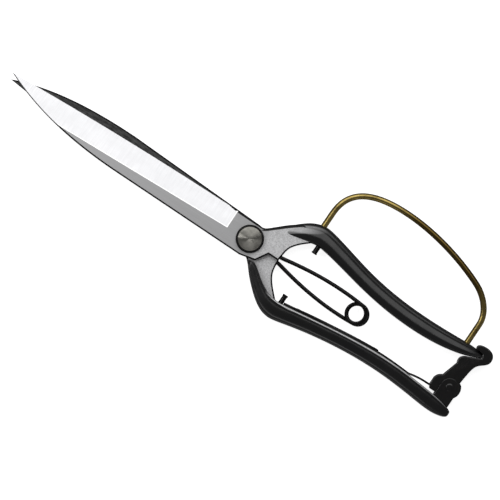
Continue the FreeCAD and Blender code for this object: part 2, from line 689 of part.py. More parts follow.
def make_fork():
    """Two round-topped ears on a web, before the foot is fitted to the handle."""
    made = body("fork", at(PIN.x, PIN.y, size("handle_middle")))
    drawn = sketch(made, "fork_outline")
    half = size("ear_half_width")
    foot = PIN.y + wall("rear", PIN.x + half, "inner") + size("ear_wrap")
    corners = [Vec(-half, 0), Vec(-half, -foot), Vec(half, -foot), Vec(half, 0)]
    for start, end in zip(corners, corners[1:]):
        drawn.addGeometry(Part.LineSegment(start, end), False)
    drawn.addGeometry(Part.ArcOfCircle(Part.Circle(Vec(), Z_AXIS, half), 0, math.pi), False)
    for kind, *places in (
            ("Coincident", 0, 2, 1, 1), ("Coincident", 1, 2, 2, 1), ("Coincident", 2, 2, 3, 1),
            ("Coincident", 3, 2, 0, 1), ("Coincident", 3, 3, -1, 1), ("Vertical", 0), ("Vertical", 2),
            ("Horizontal", 1), ("PointOnObject", 2, 2, -1)):
        drawn.addConstraint(Sketcher.Constraint(kind, *places))
    bind(drawn, Sketcher.Constraint("Radius", 3, half), "ear_half_width")
    drawn.addConstraint(Sketcher.Constraint("DistanceY", 1, 1, -1, 1, foot))
    pad(made, drawn, "fork_pad", "stack", True)
    slot = outline(made, "fork_slot", [
        ("-fork_reach", "-web_drop"), ("fork_reach", "-web_drop"),
        ("fork_reach", "fork_reach"), ("-fork_reach", "fork_reach")])
    pocket(made, slot, "fork_slotting", "cheeks")
    pocket(made, circles(made, "fork_eye", "pin_bore"), "fork_drilling", "eye_cut")
    return made


def make_latch_pin():
    return turned("latch_pin", [
        ("0", "-pin_foot_low"), ("pin_foot_radius", "-pin_foot_low"), ("pin_head_radius", "-half_stack"),
        ("pin_radius", "-half_stack"), ("pin_radius", "half_stack"), ("pin_head_radius", "half_stack"),
        ("pin_dome_radius", "pin_dome_top"), ("0", "pin_dome_top"),
    ], at(PIN.x, PIN.y, size("handle_middle"), X_AXIS, 90))


# the lever's outline, from the latch pin: outside of the nose down to the arm's back, then the arm's front
NOSE = [(0.5, 36.9), (6.9, 39.8), (14.5, 36.4), (15.0, 31.0), (8.7, 24.4), (5.9, 15.5), (5.0, 6.7)]
ARM_FRONT, ARM_THROAT, HORN_ROOT, TOE_ROUND = (-9.2, 5.4), (-5.3, 18.2), (-6.0, 22.0), (-12.0, 3.4)
HORN_X, NOSE_X = -2.9, 0.9
HEEL_BACK, HEEL_SIDE, HEEL_BOTTOM = 40, -25, -90


def lever_outline():
    """Side of the lever: nose hooked over the handle's beak, waisted arm, and a round heel with a square toe.

    The nose's inside keeps hook_gap from the beak all the way round."""
    gap = size("hook_gap")
    end_x = size("front_end_x")

    def by_beak(x, face, sign):
        return Vec(x, wall("front", min(x, end_x), face) + sign * gap)

    def rel(x, y):
        return PIN + Vec(x, y)

    radius, toe, drop = size("heel_radius"), size("heel_toe"), size("toe_drop")
    horn, nose = by_beak(PIN.x + HORN_X, "inner", -1), by_beak(PIN.x + NOSE_X, "outer", 1)
    beak_low, beak_high = by_beak(end_x + gap, "inner", -1), by_beak(end_x + gap, "outer", 1)
    toe_low = rel(-math.sqrt(TOE_RADIUS ** 2 - radius ** 2), -radius)
    toe_angle = 180 + math.degrees(math.atan2(drop, toe))
    toe_low_angle = 180 + math.degrees(math.atan2(radius, PIN.x - toe_low.x))
    outside, arm_front, throat = [rel(*point) for point in NOSE], rel(*ARM_FRONT), rel(*ARM_THROAT)
    return shape_of("lever_outline", face_of([
        spline(horn, by_beak((horn.x + end_x) / 2.0, "inner", -1), beak_low),
        *polyline(beak_low, beak_high),
        spline(beak_high, by_beak((nose.x + end_x) / 2.0, "outer", 1), nose),
        spline(nose, *outside),
        *polyline(outside[-1], on_pin(radius, HEEL_BACK)),
        arc(on_pin(radius, HEEL_BACK), on_pin(radius, HEEL_SIDE), on_pin(radius, HEEL_BOTTOM)),
        *polyline(on_pin(radius, HEEL_BOTTOM), toe_low),
        arc(toe_low, on_pin(TOE_RADIUS, (toe_angle + toe_low_angle) / 2.0), rel(-toe, -drop)),
        *polyline(rel(-toe, -drop), rel(-toe, 0)),
        spline(rel(-toe, 0), rel(*TOE_ROUND), arm_front),
        *polyline(arm_front, throat),
        spline(throat, rel(*HORN_ROOT), horn),
    ]))


def make_latch_lever():
    low = size("handle_middle") - size("latch_thickness") / 2.0
    eye = cylinder("lever_eye", "pin_bore", "eye_cut", at(PIN.x, PIN.y, -size("handle_middle")))
    return cut("latch_lever", extrude("lever_blank", lever_outline(), "latch_thickness", low), eye)


# --------------------------------------------------------------------------------------- leaf spring
def leaf_outline():
    """Leaf along the lower handle's inner face: thick root, step, and a thin blade that lifts off to the heel.

    Its lower side is drawn just inside the handle, whose own shape then trims it."""
    start, step, lift = size("leaf_start"), size("leaf_step"), size("leaf_lift")
    root, blade, sink, tip_y = size("leaf_root"), size("leaf_blade"), size("leaf_sink"), size("leaf_tip_y")
    reach = TOE_RADIUS + size("leaf_gap")
    tip_x = PIN.x - math.sqrt(reach ** 2 - (tip_y - blade - PIN.y) ** 2)

    def over(x, height):
        return Vec(x, height - wall("rear", x, "inner"))

    def along(first, last, count, height):
        return [over(first + (last - first) * index / count, height) for index in range(count + 1)]

    thick, thin, under = along(start, step, 12, root), along(step, lift, 4, blade), along(start, lift, 8, -sink)
    bow = Vec((lift + tip_x) / 2.0, tip_y - size("leaf_bow"))
    free_top, free_low = Vec(tip_x, tip_y), Vec(tip_x, tip_y - blade)
    seat_end = over(lift, 0.0)
    return shape_of("leaf_outline", face_of([
        spline(*thick), *polyline(thick[-1], thin[0]), spline(*thin), spline(thin[-1], bow, free_top),
        *polyline(free_top, free_low), spline(free_low, bow - Y_AXIS * blade, seat_end),
        *polyline(seat_end, under[-1]), spline(*under[::-1]), *polyline(under[0], thick[0]),
    ]))


# --------------------------------------------------------------------------------------------- rivets
def leaf_rivet(label, x):
    """Rivet square to the leaf's root, its foot in the handle; returns it and the drill for its hole."""
    lean = -wall_slope("rear", x, "inner")
    place = at(x, size("leaf_root") - wall("rear", x, "inner"), size("handle_middle"), Z_AXIS, lean)
    turned(label, [
        ("0", "-root_rivet_low"), ("rivet_radius", "-root_rivet_low"), ("rivet_radius", "rivet_head_lift"),
        ("rivet_head_radius", "rivet_head_lift"), ("rivet_head_radius", "rivet_head_top"), ("0", "rivet_head_top"),
    ], place)
    down = at(y=size("rivet_head_height"), axis=X_AXIS, angle=90)
    return cylinder(label + "_drill", "rivet_bore", "leaf_drill_length", place.multiply(down))


def bracket_rivet(label, x):
    """Flush rivet down through the bracket's web; its top is level with the web."""
    top_y = PIN.y - size("web_drop")
    length = top_y + wall("rear", x, "inner") + size("rivet_depth")
    made = add("Part::Cylinder", label, Height=length)
    made.Placement = at(x, top_y, size("handle_middle"), X_AXIS, 90)
    made.setExpression("Radius", cell("rivet_radius"))
    drill = add("Part::Cylinder", label + "_drill", Height=length, Placement=made.Placement)
    drill.setExpression("Radius", cell("rivet_bore") + " / 2")
    return drill


# ----------------------------------------------------------------------------------------------- build
def build():
    front, rear = forging("front", 1, "front_bottom", "front_bottom", 1), forging(
        "rear", -1, "rear_bottom", "shear_level", -1)
    leaf_drills = [
        leaf_rivet("leaf_rivet_front", size("leaf_start") + size("leaf_rivet_inset")),
        leaf_rivet("leaf_rivet_rear", size("leaf_step") - size("leaf_rivet_back"))]
    spread = size("bracket_rivet_spread") / 2.0
    web_drills = [
        bracket_rivet("bracket_rivet_front", PIN.x - spread), bracket_rivet("bracket_rivet_rear", PIN.x + spread)]
    make_front_half(front)
    make_rear_half(rear, leaf_drills + web_drills)
    make_pivot()
    make_main_spring()
    make_peg("upper_stop_peg", "upper_peg_length", "upper_peg_neck", UPPER_PEG_Y, 180)
    make_peg("lower_stop_peg", "lower_peg_length", "lower_peg_neck", LOWER_PEG_Y, 0)
    make_hand_guard()
    cut("latch_bracket", make_fork(), rear, *web_drills)
    make_latch_pin()
    make_latch_lever()
    low = size("handle_middle") - size("leaf_width") / 2.0
    leaf = extrude("leaf_blank", leaf_outline(), "leaf_width", low)
    cut("latch_leaf_spring", leaf, rear, *leaf_drills)


NODES = [
    "front_half", "rear_half", "pivot_bolt", "bolt_washer", "nut_washer", "pivot_nut", "main_spring",
    "upper_stop_peg", "lower_stop_peg", "hand_guard", "latch_bracket", "latch_lever", "latch_pin",
    "latch_leaf_spring", "leaf_rivet_front", "leaf_rivet_rear", "bracket_rivet_front", "bracket_rivet_rear",
]


def check_and_write():
    """Stop on any failed object or poor solid, then write one file for each piece."""
    failed = [o.Name for o in doc.Objects if {"Invalid", "Error"} & set(o.State)]
    if failed:
        raise RuntimeError("failed objects: %s" % failed)
    pieces = {name: doc.getObjectsByLabel(name)[0] for name in NODES}
    for name, piece in pieces.items():
        shape = piece.Shape
        if shape.isNull() or not shape.isValid() or len(shape.Solids) != 1:
            raise RuntimeError("%s is not one valid solid" % name)
    os.makedirs("parts", exist_ok=True)
    for name, piece in pieces.items():
        piece.Shape.exportStep("parts/%s.step" % name)
        box = piece.Shape.BoundBox
        print("%-20s %9.1f mm3  x %7.1f %7.1f  y %6.1f %6.1f  z %5.2f %5.2f" % (
            name, piece.Shape.Volume, box.XMin, box.XMax, box.YMin, box.YMax, box.ZMin, box.ZMax))


build()
doc.recompute()
check_and_write()
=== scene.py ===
"""Visible pieces of long-bladed one-hand trimming shears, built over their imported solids.

Frame: the pivot axis is Z, +X runs to the handles' ends and +Y to the hand guard.  Tables of places are in
millimetres; everything in the scene is in metres.
"""

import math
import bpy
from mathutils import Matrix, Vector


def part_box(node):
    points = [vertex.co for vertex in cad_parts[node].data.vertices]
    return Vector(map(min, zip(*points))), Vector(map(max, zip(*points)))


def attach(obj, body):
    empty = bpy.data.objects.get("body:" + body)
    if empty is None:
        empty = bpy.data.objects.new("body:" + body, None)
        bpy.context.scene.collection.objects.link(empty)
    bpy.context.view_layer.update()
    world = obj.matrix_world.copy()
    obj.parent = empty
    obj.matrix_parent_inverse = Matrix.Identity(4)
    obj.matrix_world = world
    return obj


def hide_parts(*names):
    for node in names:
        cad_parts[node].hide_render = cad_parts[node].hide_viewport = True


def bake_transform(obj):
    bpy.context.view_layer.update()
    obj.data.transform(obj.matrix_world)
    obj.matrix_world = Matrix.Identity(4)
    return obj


bl_info = {
    "name": "Trimming Shears",
    "version": (1, 0, 0),
    "blender": (4, 5, 0),
    "location": "View3D > Sidebar > Shears",
    "description": "Builds the blades, handles, spring, guard and latch of one-hand trimming shears",
    "category": "Object",
}

import bmesh
import bpy
from mathutils import Matrix, Vector
from mathutils.bvhtree import BVHTree
from mathutils.geometry import interpolate_bezier

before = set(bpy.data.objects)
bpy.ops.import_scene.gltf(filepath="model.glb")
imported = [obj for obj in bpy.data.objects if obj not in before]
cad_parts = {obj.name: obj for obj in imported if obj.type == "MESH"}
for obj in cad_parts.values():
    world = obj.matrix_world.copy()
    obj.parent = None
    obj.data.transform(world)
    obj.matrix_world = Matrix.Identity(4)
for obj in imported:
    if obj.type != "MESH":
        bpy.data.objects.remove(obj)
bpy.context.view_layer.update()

MM = 0.001
WELD, LEVEL = 0.002 * MM, 0.0001 * MM
OUTSIDE = 0.2  # metres from the pivot, beyond every solid
LOWER, UPPER, LATCH = "lower", "upper", "latch"


# ------------------------------------------------------------------------------------------- measures
def mm(x, y, z=0.0):
    """Point given in millimetres."""
    return Vector((x, y, z)) * MM


def linear(code):
    """Linear colour of an sRGB hex code."""
    parts = [int(code[i:i + 2], 16) / 255 for i in (1, 3, 5)]
    return (*(p / 12.92 if p <= 0.04045 else ((p + 0.055) / 1.055) ** 2.4 for p in parts), 1.0)


def middle(name):
    """Centre of a solid's box."""
    low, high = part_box(name)
    return (Vector(low) + Vector(high)) / 2


# ------------------------------------------------------------------------------------- shapes, in millimetres
PLATE = {
    # the side of the cutting edge, the plate's underside, the way that its ground face looks, and places on its
    # outline, which is drawn with the cutting edge on +Y and turned over for the rear half
    "front": {
        "side": 1, "bottom": 7.7, "facing": 1, "tip": (-214.6, 3.8), "spine": (14.0, 14.4),
        "flank": [(2.5, 12.2), (4.6, 12.65), (6.5, 13.8), (20.0, 26.0), (27.0, 30.3), (34.0, 31.2), (43.0, 31.2)],
        "inside": 25.9, "wall": 11.8},
    "rear": {
        "side": -1, "bottom": 2.8, "facing": -1, "tip": (-213.2, 1.0), "spine": (12.6, 15.3),
        "flank": [(2.5, 12.2), (4.6, 12.65), (6.5, 13.9), (20.0, 27.6), (27.0, 32.4), (34.0, 34.0), (43.0, 34.0)],
        "inside": 29.2, "wall": 13.4},
}
THICKNESS, EDGE_LAND = 4.8, 0.35
PLUNGE_X, EDGE_Y, BEVEL_Y, BEVEL_SLOPE = -18.6, 12.2, -2.4, 0.0493
BELLY_X, EDGE_BOW, BOLT_BORE = -112.0, 2.0, 9.1
THROAT = [(26.2, -1.7), (17.7, -1.7), (12.1, -11.1)]


def bevel_line(x):
    """Y of the line where the ground bevel starts."""
    return BEVEL_Y - BEVEL_SLOPE * (PLUNGE_X - x)


def belly(half):
    """Places along the curve of a plate's spine, from its widest place to the tip."""
    tip, start = Vector(PLATE[half]["tip"]), Vector((BELLY_X, -PLATE[half]["spine"][1]))
    return interpolate_bezier(start, start - Vector((46.0, 0)), tip + Vector((24.6, -10.3)), tip, 25)


# how each handle grows out of its shank: x, inner face, outer face, underside, top
GROWTH = {
    "front": [
        (18.0, 16.4, 23.4, 7.9, 12.3), (22.0, 18.0, 27.6, 6.6, 12.9), (26.0, 19.0, 31.2, 4.2, 13.4),
        (31.0, 20.2, 35.2, 1.6, 14.0), (37.0, 21.9, 38.1, 0.5, 14.6), (43.0, 23.55, 38.95, 0.12, 15.05)],
    "rear": [
        (7.5, -13.3, -14.6, 4.0, 7.5), (8.7, -13.1, -16.0, 3.2, 12.3), (12.5, -12.2, -20.6, 2.9, 12.6),
        (16.0, -14.2, -24.4, 2.85, 12.9), (20.0, -17.3, -28.2, 2.6, 13.2), (25.0, -21.0, -32.6, 1.9, 13.7),
        (31.0, -24.6, -37.1, 0.9, 14.3), (37.0, -26.7, -40.0, 0.3, 14.8), (43.0, -27.1, -40.95, 0.12, 15.1)],
}
# how much fuller a handle's end is than its solid, and how much its very nose is drawn in again, with the
# lengths over which each fades; then the distance of the last sections from the end
SWELL, SWELL_FADE = {"front": 0.35, "rear": 0.75}, 9.0
NOSE, NOSE_FADE = {"front": 0.0, "rear": 1.3}, 0.5
LAST_SECTIONS, BEAK_REACH = (2.6, 0.9, 0.15), {"front": 0.3, "rear": 0.0}
HANDLE_LEVEL = 7.6      # half way up a handle
# sections across a handle, once round: share from inner to outer face, and from underside to top
ROUND_BACK = [
    (1.0, 0.30), (1.0, 0.0), (1.0, -0.30), (0.96, -0.62), (0.86, -0.86), (0.62, -0.98), (0.38, -0.98),
    (0.14, -0.86), (0.04, -0.62), (0.0, -0.3), (0.0, 0.0)]
SECTION = {
    "front": ROUND_BACK + [
        (0.0, 0.35), (0.02, 0.68), (0.08, 0.86), (0.18, 0.92), (0.29, 0.96), (0.37, 1.0), (0.50, 0.94),
        (0.61, 0.88), (0.69, 0.83), (0.77, 0.67), (0.89, 0.60), (0.96, 0.33)],
    "rear": ROUND_BACK + [
        (0.0, 0.55), (0.0, 0.84), (0.03, 0.98), (0.09, 1.0), (0.20, 0.93), (0.30, 0.99), (0.52, 0.94),
        (0.75, 0.86), (0.84, 0.95), (0.89, 0.84), (0.94, 0.62), (0.99, 0.36)],
}


# ------------------------------------------------------------------------------------------ properties
class ShearsSizes(bpy.types.PropertyGroup):
    rim: bpy.props.FloatProperty(
        name="Rim", description="Rounding of the plates' black rims", default=1.2 * MM, unit="LENGTH")
    wire: bpy.props.FloatProperty(
        name="Wire", description="Diameter of the main spring's wire", default=3.0 * MM, unit="LENGTH")
    coil: bpy.props.FloatProperty(
        name="Coil", description="Mean radius of the main spring's coil", default=7.5 * MM, unit="LENGTH")
    coil_shift: bpy.props.FloatProperty(
        name="Coil shift", description="How far the coil's lower turn lies behind its upper one",
        default=2.2 * MM, unit="LENGTH")
    guard_rod: bpy.props.FloatProperty(
        name="Guard rod", description="Diameter of the brass rod", default=4.7 * MM, unit="LENGTH")
    lever_rounding: bpy.props.FloatProperty(
        name="Lever rounding", description="Rounded edges of the latch lever", default=0.8 * MM, unit="LENGTH")
    handle_spacing: bpy.props.FloatProperty(
        name="Handle spacing", description="Distance between a handle's modelled sections",
        default=6.5 * MM, unit="LENGTH")


class ShearsColours(bpy.types.PropertyGroup):
    bevel: bpy.props.FloatVectorProperty(
        name="Ground bevel", description="Freshly ground steel", subtype="COLOR", size=4,
        default=linear("#E4E4E6"))
    flat: bpy.props.FloatVectorProperty(
        name="Flat steel", description="Lapped faces of blades and shanks", subtype="COLOR", size=4,
        default=linear("#D6D6D7"))
    lacquer: bpy.props.FloatVectorProperty(
        name="Handle black", description="Satin black of the forged handles", subtype="COLOR", size=4,
        default=linear("#0F0F11"))
    blueing: bpy.props.FloatVectorProperty(
        name="Spring black", description="Oil-blackened wire and latch", subtype="COLOR", size=4,
        default=linear("#08080A"))
    bolt: bpy.props.FloatVectorProperty(
        name="Bolt", description="Dark turned steel of the bolt", subtype="COLOR", size=4,
        default=linear("#ABA9A2"))
    brass: bpy.props.FloatVectorProperty(
        name="Brass", description="Aged brass of the hand guard", subtype="COLOR", size=4,
        default=linear("#C0AA66"))
    scale: bpy.props.FloatVectorProperty(
        name="Rim black and painted shade", description="Matt black of the plates' rims, painted as shade along the blades", subtype="COLOR", size=4,
        default=linear("#0A0A0B"))
    floor: bpy.props.FloatVectorProperty(
        name="Floor", description="Pale studio floor", subtype="COLOR", size=4, default=linear("#EDEDED"))


# ------------------------------------------------------------------------------------------- materials
def node(tree, kind, sockets=None, **settings):
    """Add a node; a socket's value may be a number, a colour, another node or its output."""
    made = tree.nodes.new(kind)
    for key, value in settings.items():
        setattr(made, key, value)
    for key, value in (sockets or {}).items():
        if isinstance(key, int):
            socket = made.inputs[key]
        else:
            socket = next(s for s in made.inputs if s.enabled and s.name == key)
        if isinstance(value, bpy.types.Node):
            value = next(o for o in value.outputs if o.enabled)
        if isinstance(value, bpy.types.NodeSocket):
            tree.links.new(value, socket)
        else:
            socket.default_value = value
    return made


def coat(name):
    """Empty material with its tree and a place in millimetres to lay patterns on."""
    made = bpy.data.materials.get(name)
    if made:
        bpy.data.materials.remove(made)
    made = bpy.data.materials.new(name)
    made.use_nodes = True
    tree = made.node_tree
    tree.nodes.clear()
    where = node(tree, "ShaderNodeTexCoord").outputs["Object"]
    return made, tree, node(tree, "ShaderNodeVectorMath", {0: where, "Scale": 1 / MM}, operation="SCALE")


def surface(tree, relief=None, depth=0.0, **values):
    """Principled surface; values name its sockets, and relief is a height that stands depth metres proud."""
    made = node(tree, "ShaderNodeBsdfPrincipled", {key.replace("_", " "): v for key, v in values.items()})
    if relief is not None:
        bump = node(tree, "ShaderNodeBump", {"Height": relief, "Strength": 1.0, "Distance": depth})
        tree.links.new(bump.outputs[0], made.inputs["Normal"])
    node(tree, "ShaderNodeOutputMaterial", {"Surface": made})
    return made


def grain(tree, place, spacing, detail=4.0, roughness=0.55):
    """Noise whose features are spacing millimetres apart along each axis."""
    turned = node(tree, "ShaderNodeMapping", {"Vector": place, "Scale": [1 / s for s in spacing]})
    return node(tree, "ShaderNodeTexNoise", {
        "Vector": turned, "Scale": 1.0, "Detail": detail, "Roughness": roughness})


def between(tree, value, low, high, start=0.0, end=1.0, kind="LINEAR"):
    """From start, where the value is low, to end, where it is high."""
    return node(tree, "ShaderNodeMapRange", {
        "Value": value, "From Min": low, "From Max": high, "To Min": start, "To Max": end},
        interpolation_type=kind)


def axes(tree, place):
    """X, Y and Z of a place."""
    return node(tree, "ShaderNodeSeparateXYZ", {0: place}).outputs


def maths(tree, operation, *values):
    """Result of an operation on numbers or masks."""
    return node(tree, "ShaderNodeMath", dict(enumerate(values)), operation=operation)


def mixed(tree, share, first, second):
    """First colour, with this share of the second."""
    return node(tree, "ShaderNodeMix", {"Factor": share, "A": first, "B": second}, data_type="RGBA")


def shade(colour, factor):
    """The colour, lighter or darker."""
    return (*(min(1.0, part * factor) for part in colour[:3]), 1.0)


def beyond(tree, place, points, soft):
    """1 on the +Y side of a smooth line through the points, 0 on the other, soft millimetres wide."""
    parts = axes(tree, place)
    x_low, x_high = points[0][0], points[-1][0]
    y_low, y_high = min(p[1] for p in points) - 2.0, max(p[1] for p in points) + 2.0
    along = between(tree, parts[0], x_low, x_high)
    curve = node(tree, "ShaderNodeFloatCurve", {"Value": along})
    line = curve.mapping.curves[0]
    scaled = [((x - x_low) / (x_high - x_low), (y - y_low) / (y_high - y_low)) for x, y in points]
    for spot in scaled[1:-1]:
        line.points.new(*spot)
    line.points[0].location, line.points[len(line.points) - 1].location = scaled[0], scaled[-1]
    curve.mapping.update()
    height = between(tree, curve, 0.0, 1.0, y_low, y_high)
    over = maths(tree, "SUBTRACT", parts[1], height)
    return between(tree, over, -soft / 2, soft / 2, kind="SMOOTHSTEP")


def both(tree, *masks):
    """Where every mask is 1."""
    made = masks[0]
    for mask in masks[1:]:
        made = maths(tree, "MULTIPLY", made, mask)
    return made


def inverse(tree, mask):
    """Where the mask is 0."""
    return maths(tree, "SUBTRACT", 1.0, mask)


def bevel_steel(colours, half):
    """High-carbon steel off a fine wheel: pale and satin, its scratches run from spine to edge.

    The polished shoulder line borders it, painted white as a highlight, and towards the tip the black of the spine's
    rim, a painted shade, reaches onto it."""
    made, tree, place = coat("Ground carbon steel, " + half)
    place = node(tree, "ShaderNodeVectorMath", {0: place, 1: (1.0, PLATE[half]["side"], 1.0)}, operation="MULTIPLY")
    parts = axes(tree, place)
    # the wheel's scratches are finer than 0.1 mm; they are drawn 0.35 mm apart so that they show
    scratches = grain(tree, place, (0.35, 14.0, 14.0))
    clouds = grain(tree, place, (30.0, 9.0, 9.0), detail=2.0)
    tint = mixed(tree, between(tree, clouds, 0.35, 0.7), colours.bevel, shade(colours.bevel, 0.93))
    tint = mixed(tree, between(tree, scratches, 0.3, 0.75), tint, shade(colours.bevel, 0.90))
    # the polished shoulder line, painted white as a highlight, is 0.55 mm wide along the bevel and 0.75 mm at the
    # plunge wall
    off_line = beyond(tree, place, [(x, bevel_line(x) + 0.55) for x in (-216.0, -117.0, PLUNGE_X)], 0.3)
    off_plunge = inverse(tree, between(tree, parts[0], PLUNGE_X - 0.9, PLUNGE_X - 0.6))
    tint = mixed(tree, both(tree, off_line, off_plunge), (1.0, 1.0, 1.0, 1.0), tint)
    # painted shade: near the tip the black of the spine's rim is carried onto the bevel
    steel = beyond(tree, place, [(p.x, p.y + 0.8) for p in reversed(belly(half))], 0.4)
    surface(tree, scratches, 0.006 * MM, Base_Color=mixed(tree, steel, colours.scale, tint), Metallic=steel,
            Roughness=between(tree, scratches, 0.3, 0.7, 0.30, 0.40))
    return made


def flat_steel(colours, name="Lapped carbon steel", darkening_line=None, band_line=None):
    """Lapped flats: mid grey, lengthwise lines on the blade, and a pebbled hammer grain on the shank.

    darkening_line is where the blade's face turns dark grey towards the spine;
    band_line is where the black of the shank's filed flank begins."""
    made, tree, place = coat(name)
    parts = axes(tree, place)
    # lapping lines are drawn 0.3 mm apart and 60 mm long, coarser than a lap's own
    lines = grain(tree, place, (60.0, 0.3, 0.3))
    pebbles = grain(tree, place, (1.1, 1.1, 1.1), detail=6.0, roughness=0.7)
    on_shank = between(tree, parts[0], 4.0, 13.0, kind="SMOOTHSTEP")
    pattern = node(tree, "ShaderNodeMix", {"Factor": on_shank, "A": lines, "B": pebbles}, data_type="FLOAT")
    tint = mixed(tree, between(tree, pattern, 0.25, 0.75), shade(colours.flat, 0.84), colours.flat)
    tint = mixed(tree, on_shank, tint, mixed(
        tree, between(tree, pebbles, 0.30, 0.62), shade(colours.flat, 0.88), shade(colours.flat, 1.42)))
    rough = between(tree, pattern, 0.3, 0.7, 0.56, 0.66)
    if darkening_line:
        # dark grey patches beyond darkening_line, towards the spine, kept off the plunge
        dark = both(tree, beyond(tree, place, darkening_line, 1.6), inverse(
            tree, between(tree, parts[0], -24.0, -16.0)))
        scale = grain(tree, place, (5.0, 1.2, 1.2), detail=5.0)
        tint = mixed(tree, dark, tint, mixed(
            tree, between(tree, scale, 0.35, 0.7), linear("#3B3B3B"), linear("#6A6A6A")))
    metal = 1.0
    if band_line:
        black = both(tree, beyond(tree, place, band_line, 0.5), between(tree, parts[0], 3.0, 5.0))
        tint, metal = mixed(tree, black, tint, colours.scale), inverse(tree, black)
    surface(tree, pattern, 0.012 * MM, Base_Color=tint, Metallic=metal, Roughness=rough)
    return made


def rim_black_and_shade(colours):
    """Rims and sides: matt black that takes almost no highlight, the forging's own black on the shank and a painted
    shade along the blades.
    """
    made, tree, place = coat("Matt black rims and painted shade")
    crust = grain(tree, place, (0.8, 0.8, 0.8), detail=5.0)
    tint = mixed(tree, between(tree, crust, 0.3, 0.75), colours.scale, shade(colours.scale, 2.2))
    surface(tree, crust, 0.02 * MM, Base_Color=tint, Specular_IOR_Level=0.22, Roughness=0.6)
    return made


def handle_black(colours, name, bare_and_highlight_at, bare_tone_and_highlight=1.0):
    """Forging under thin satin black: a soft sheen that breaks up on hammer marks.

    bare_and_highlight_at gives the mask of the places drawn as uncoated steel, ground steel on the front shank and a
    painted highlight along the rear ridge, and bare_tone_and_highlight says how bright they are."""
    made, tree, place = coat(name)
    # hammer marks are 7 mm across, and the lacquer's own orange peel is 0.7 mm
    marks = grain(tree, place, (9.0, 7.0, 7.0), detail=1.0)
    peel = grain(tree, place, (0.7, 0.7, 0.7), detail=3.0)
    relief = maths(tree, "MULTIPLY_ADD", marks, 5.0, peel)
    tint = mixed(tree, between(tree, peel, 0.3, 0.75), shade(colours.lacquer, 0.5), shade(colours.lacquer, 1.2))
    rough = between(tree, marks, 0.3, 0.7, 0.24, 0.33)
    bare_and_highlight = bare_and_highlight_at(tree, place)
    pebbles = grain(tree, place, (1.1, 1.1, 1.1), detail=6.0, roughness=0.7)
    # uncoated steel colour; along the rear ridge it is a painted highlight
    steel = mixed(tree, between(tree, pebbles, 0.30, 0.65), shade(colours.flat, 0.78 * bare_tone_and_highlight),
                  shade(colours.flat, bare_tone_and_highlight))
    rough = node(tree, "ShaderNodeMix", {"Factor": bare_and_highlight, "A": rough, "B": 0.5}, data_type="FLOAT")
    surface(tree, relief, 0.02 * MM, Base_Color=mixed(tree, bare_and_highlight, tint, steel), Roughness=rough,
            Metallic=bare_and_highlight, Specular_IOR_Level=0.6)
    return made


def front_ground(tree, place):
    """The front shank's filed hollow between the black wedge of its handle and the black band of its flank."""
    parts = axes(tree, place)
    over_wedge = beyond(tree, place, [(16.0, 14.4), (20.0, 17.8), (30.0, 25.0), (35.0, 28.0), (42.0, 32.6),
                                      (48.0, 40.0)], 1.2)
    under_band = inverse(tree, beyond(tree, place, [(6.0, 11.0), (20.0, 23.9), (31.0, 32.9), (38.0, 36.6),
                                                    (46.0, 37.6)], 0.8))
    fading = inverse(tree, between(tree, parts[0], 28.0, 46.0))
    upward = between(tree, parts[2], 11.6, 12.2)
    return both(tree, over_wedge, under_band, fading, upward)


def rear_ridge_highlight(tree, place):
    """Painted highlight along the rear handle's upper inner edge, drawn as a line of bright metallic steel."""
    parts = axes(tree, place)
    line = [(30.0, -25.2), (37.0, -27.1), (45.0, -27.6), (60.0, -25.7), (80.0, -22.7), (100.0, -20.2),
            (120.0, -18.4), (135.0, -17.8), (150.0, -18.0), (160.0, -18.7), (170.0, -19.4), (180.0, -20.4),
            (188.0, -21.7), (194.0, -23.6)]
    lower = beyond(tree, place, [(x, y - 0.4) for x, y in line], 0.4)
    ends = both(tree, between(tree, parts[0], 31.0, 40.0), inverse(
        tree, between(tree, parts[0], 130.0, 220.0)))
    return both(tree, lower, ends, between(tree, parts[2], 12.4, 13.4))


def spring_black(colours, name="Oil-blackened spring steel", gloss=0.18, shine=0.25):
    """Heat-blackened and oiled: almost black, with a tight highlight and a faint brown in the oxide."""
    made, tree, place = coat(name)
    oxide = grain(tree, place, (2.2, 2.2, 2.2), detail=5.0, roughness=0.6)
    drawn = grain(tree, place, (0.5, 0.5, 0.5), detail=2.0)
    tint = mixed(tree, between(tree, oxide, 0.35, 0.75), colours.blueing, linear("#120F0D"))
    surface(tree, drawn, 0.004 * MM, Base_Color=tint, Specular_IOR_Level=shine,
            Roughness=between(tree, oxide, 0.3, 0.7, gloss, gloss + 0.08))
    return made


def turned_steel(colours):
    """Bolt head off the lathe and darkened: its fine rings draw the light out into spokes."""
    made, tree, place = coat("Dark turned steel")
    parts = axes(tree, place)
    flat_place = node(tree, "ShaderNodeCombineXYZ", {0: parts[0], 1: parts[1]})
    radius = node(tree, "ShaderNodeVectorMath", {0: flat_place}, operation="LENGTH")
    # lathe rings are drawn 0.45 mm apart, twice a finishing cut's feed
    feed = maths(tree, "MULTIPLY", radius.outputs["Value"], 2 * math.pi / 0.45)
    rings = maths(tree, "SINE", feed)
    stains = grain(tree, place, (3.0, 3.0, 3.0), detail=5.0)
    tint = mixed(tree, between(tree, stains, 0.3, 0.7), shade(colours.bolt, 0.72), shade(colours.bolt, 1.12))
    lie = node(tree, "ShaderNodeTangent", direction_type="UV_MAP", uv_map="rings")
    surface(tree, rings, 0.004 * MM, Base_Color=tint, Metallic=1.0, Roughness=0.34, Anisotropic=1.0,
            Anisotropic_Rotation=0.25, Tangent=lie)
    return made


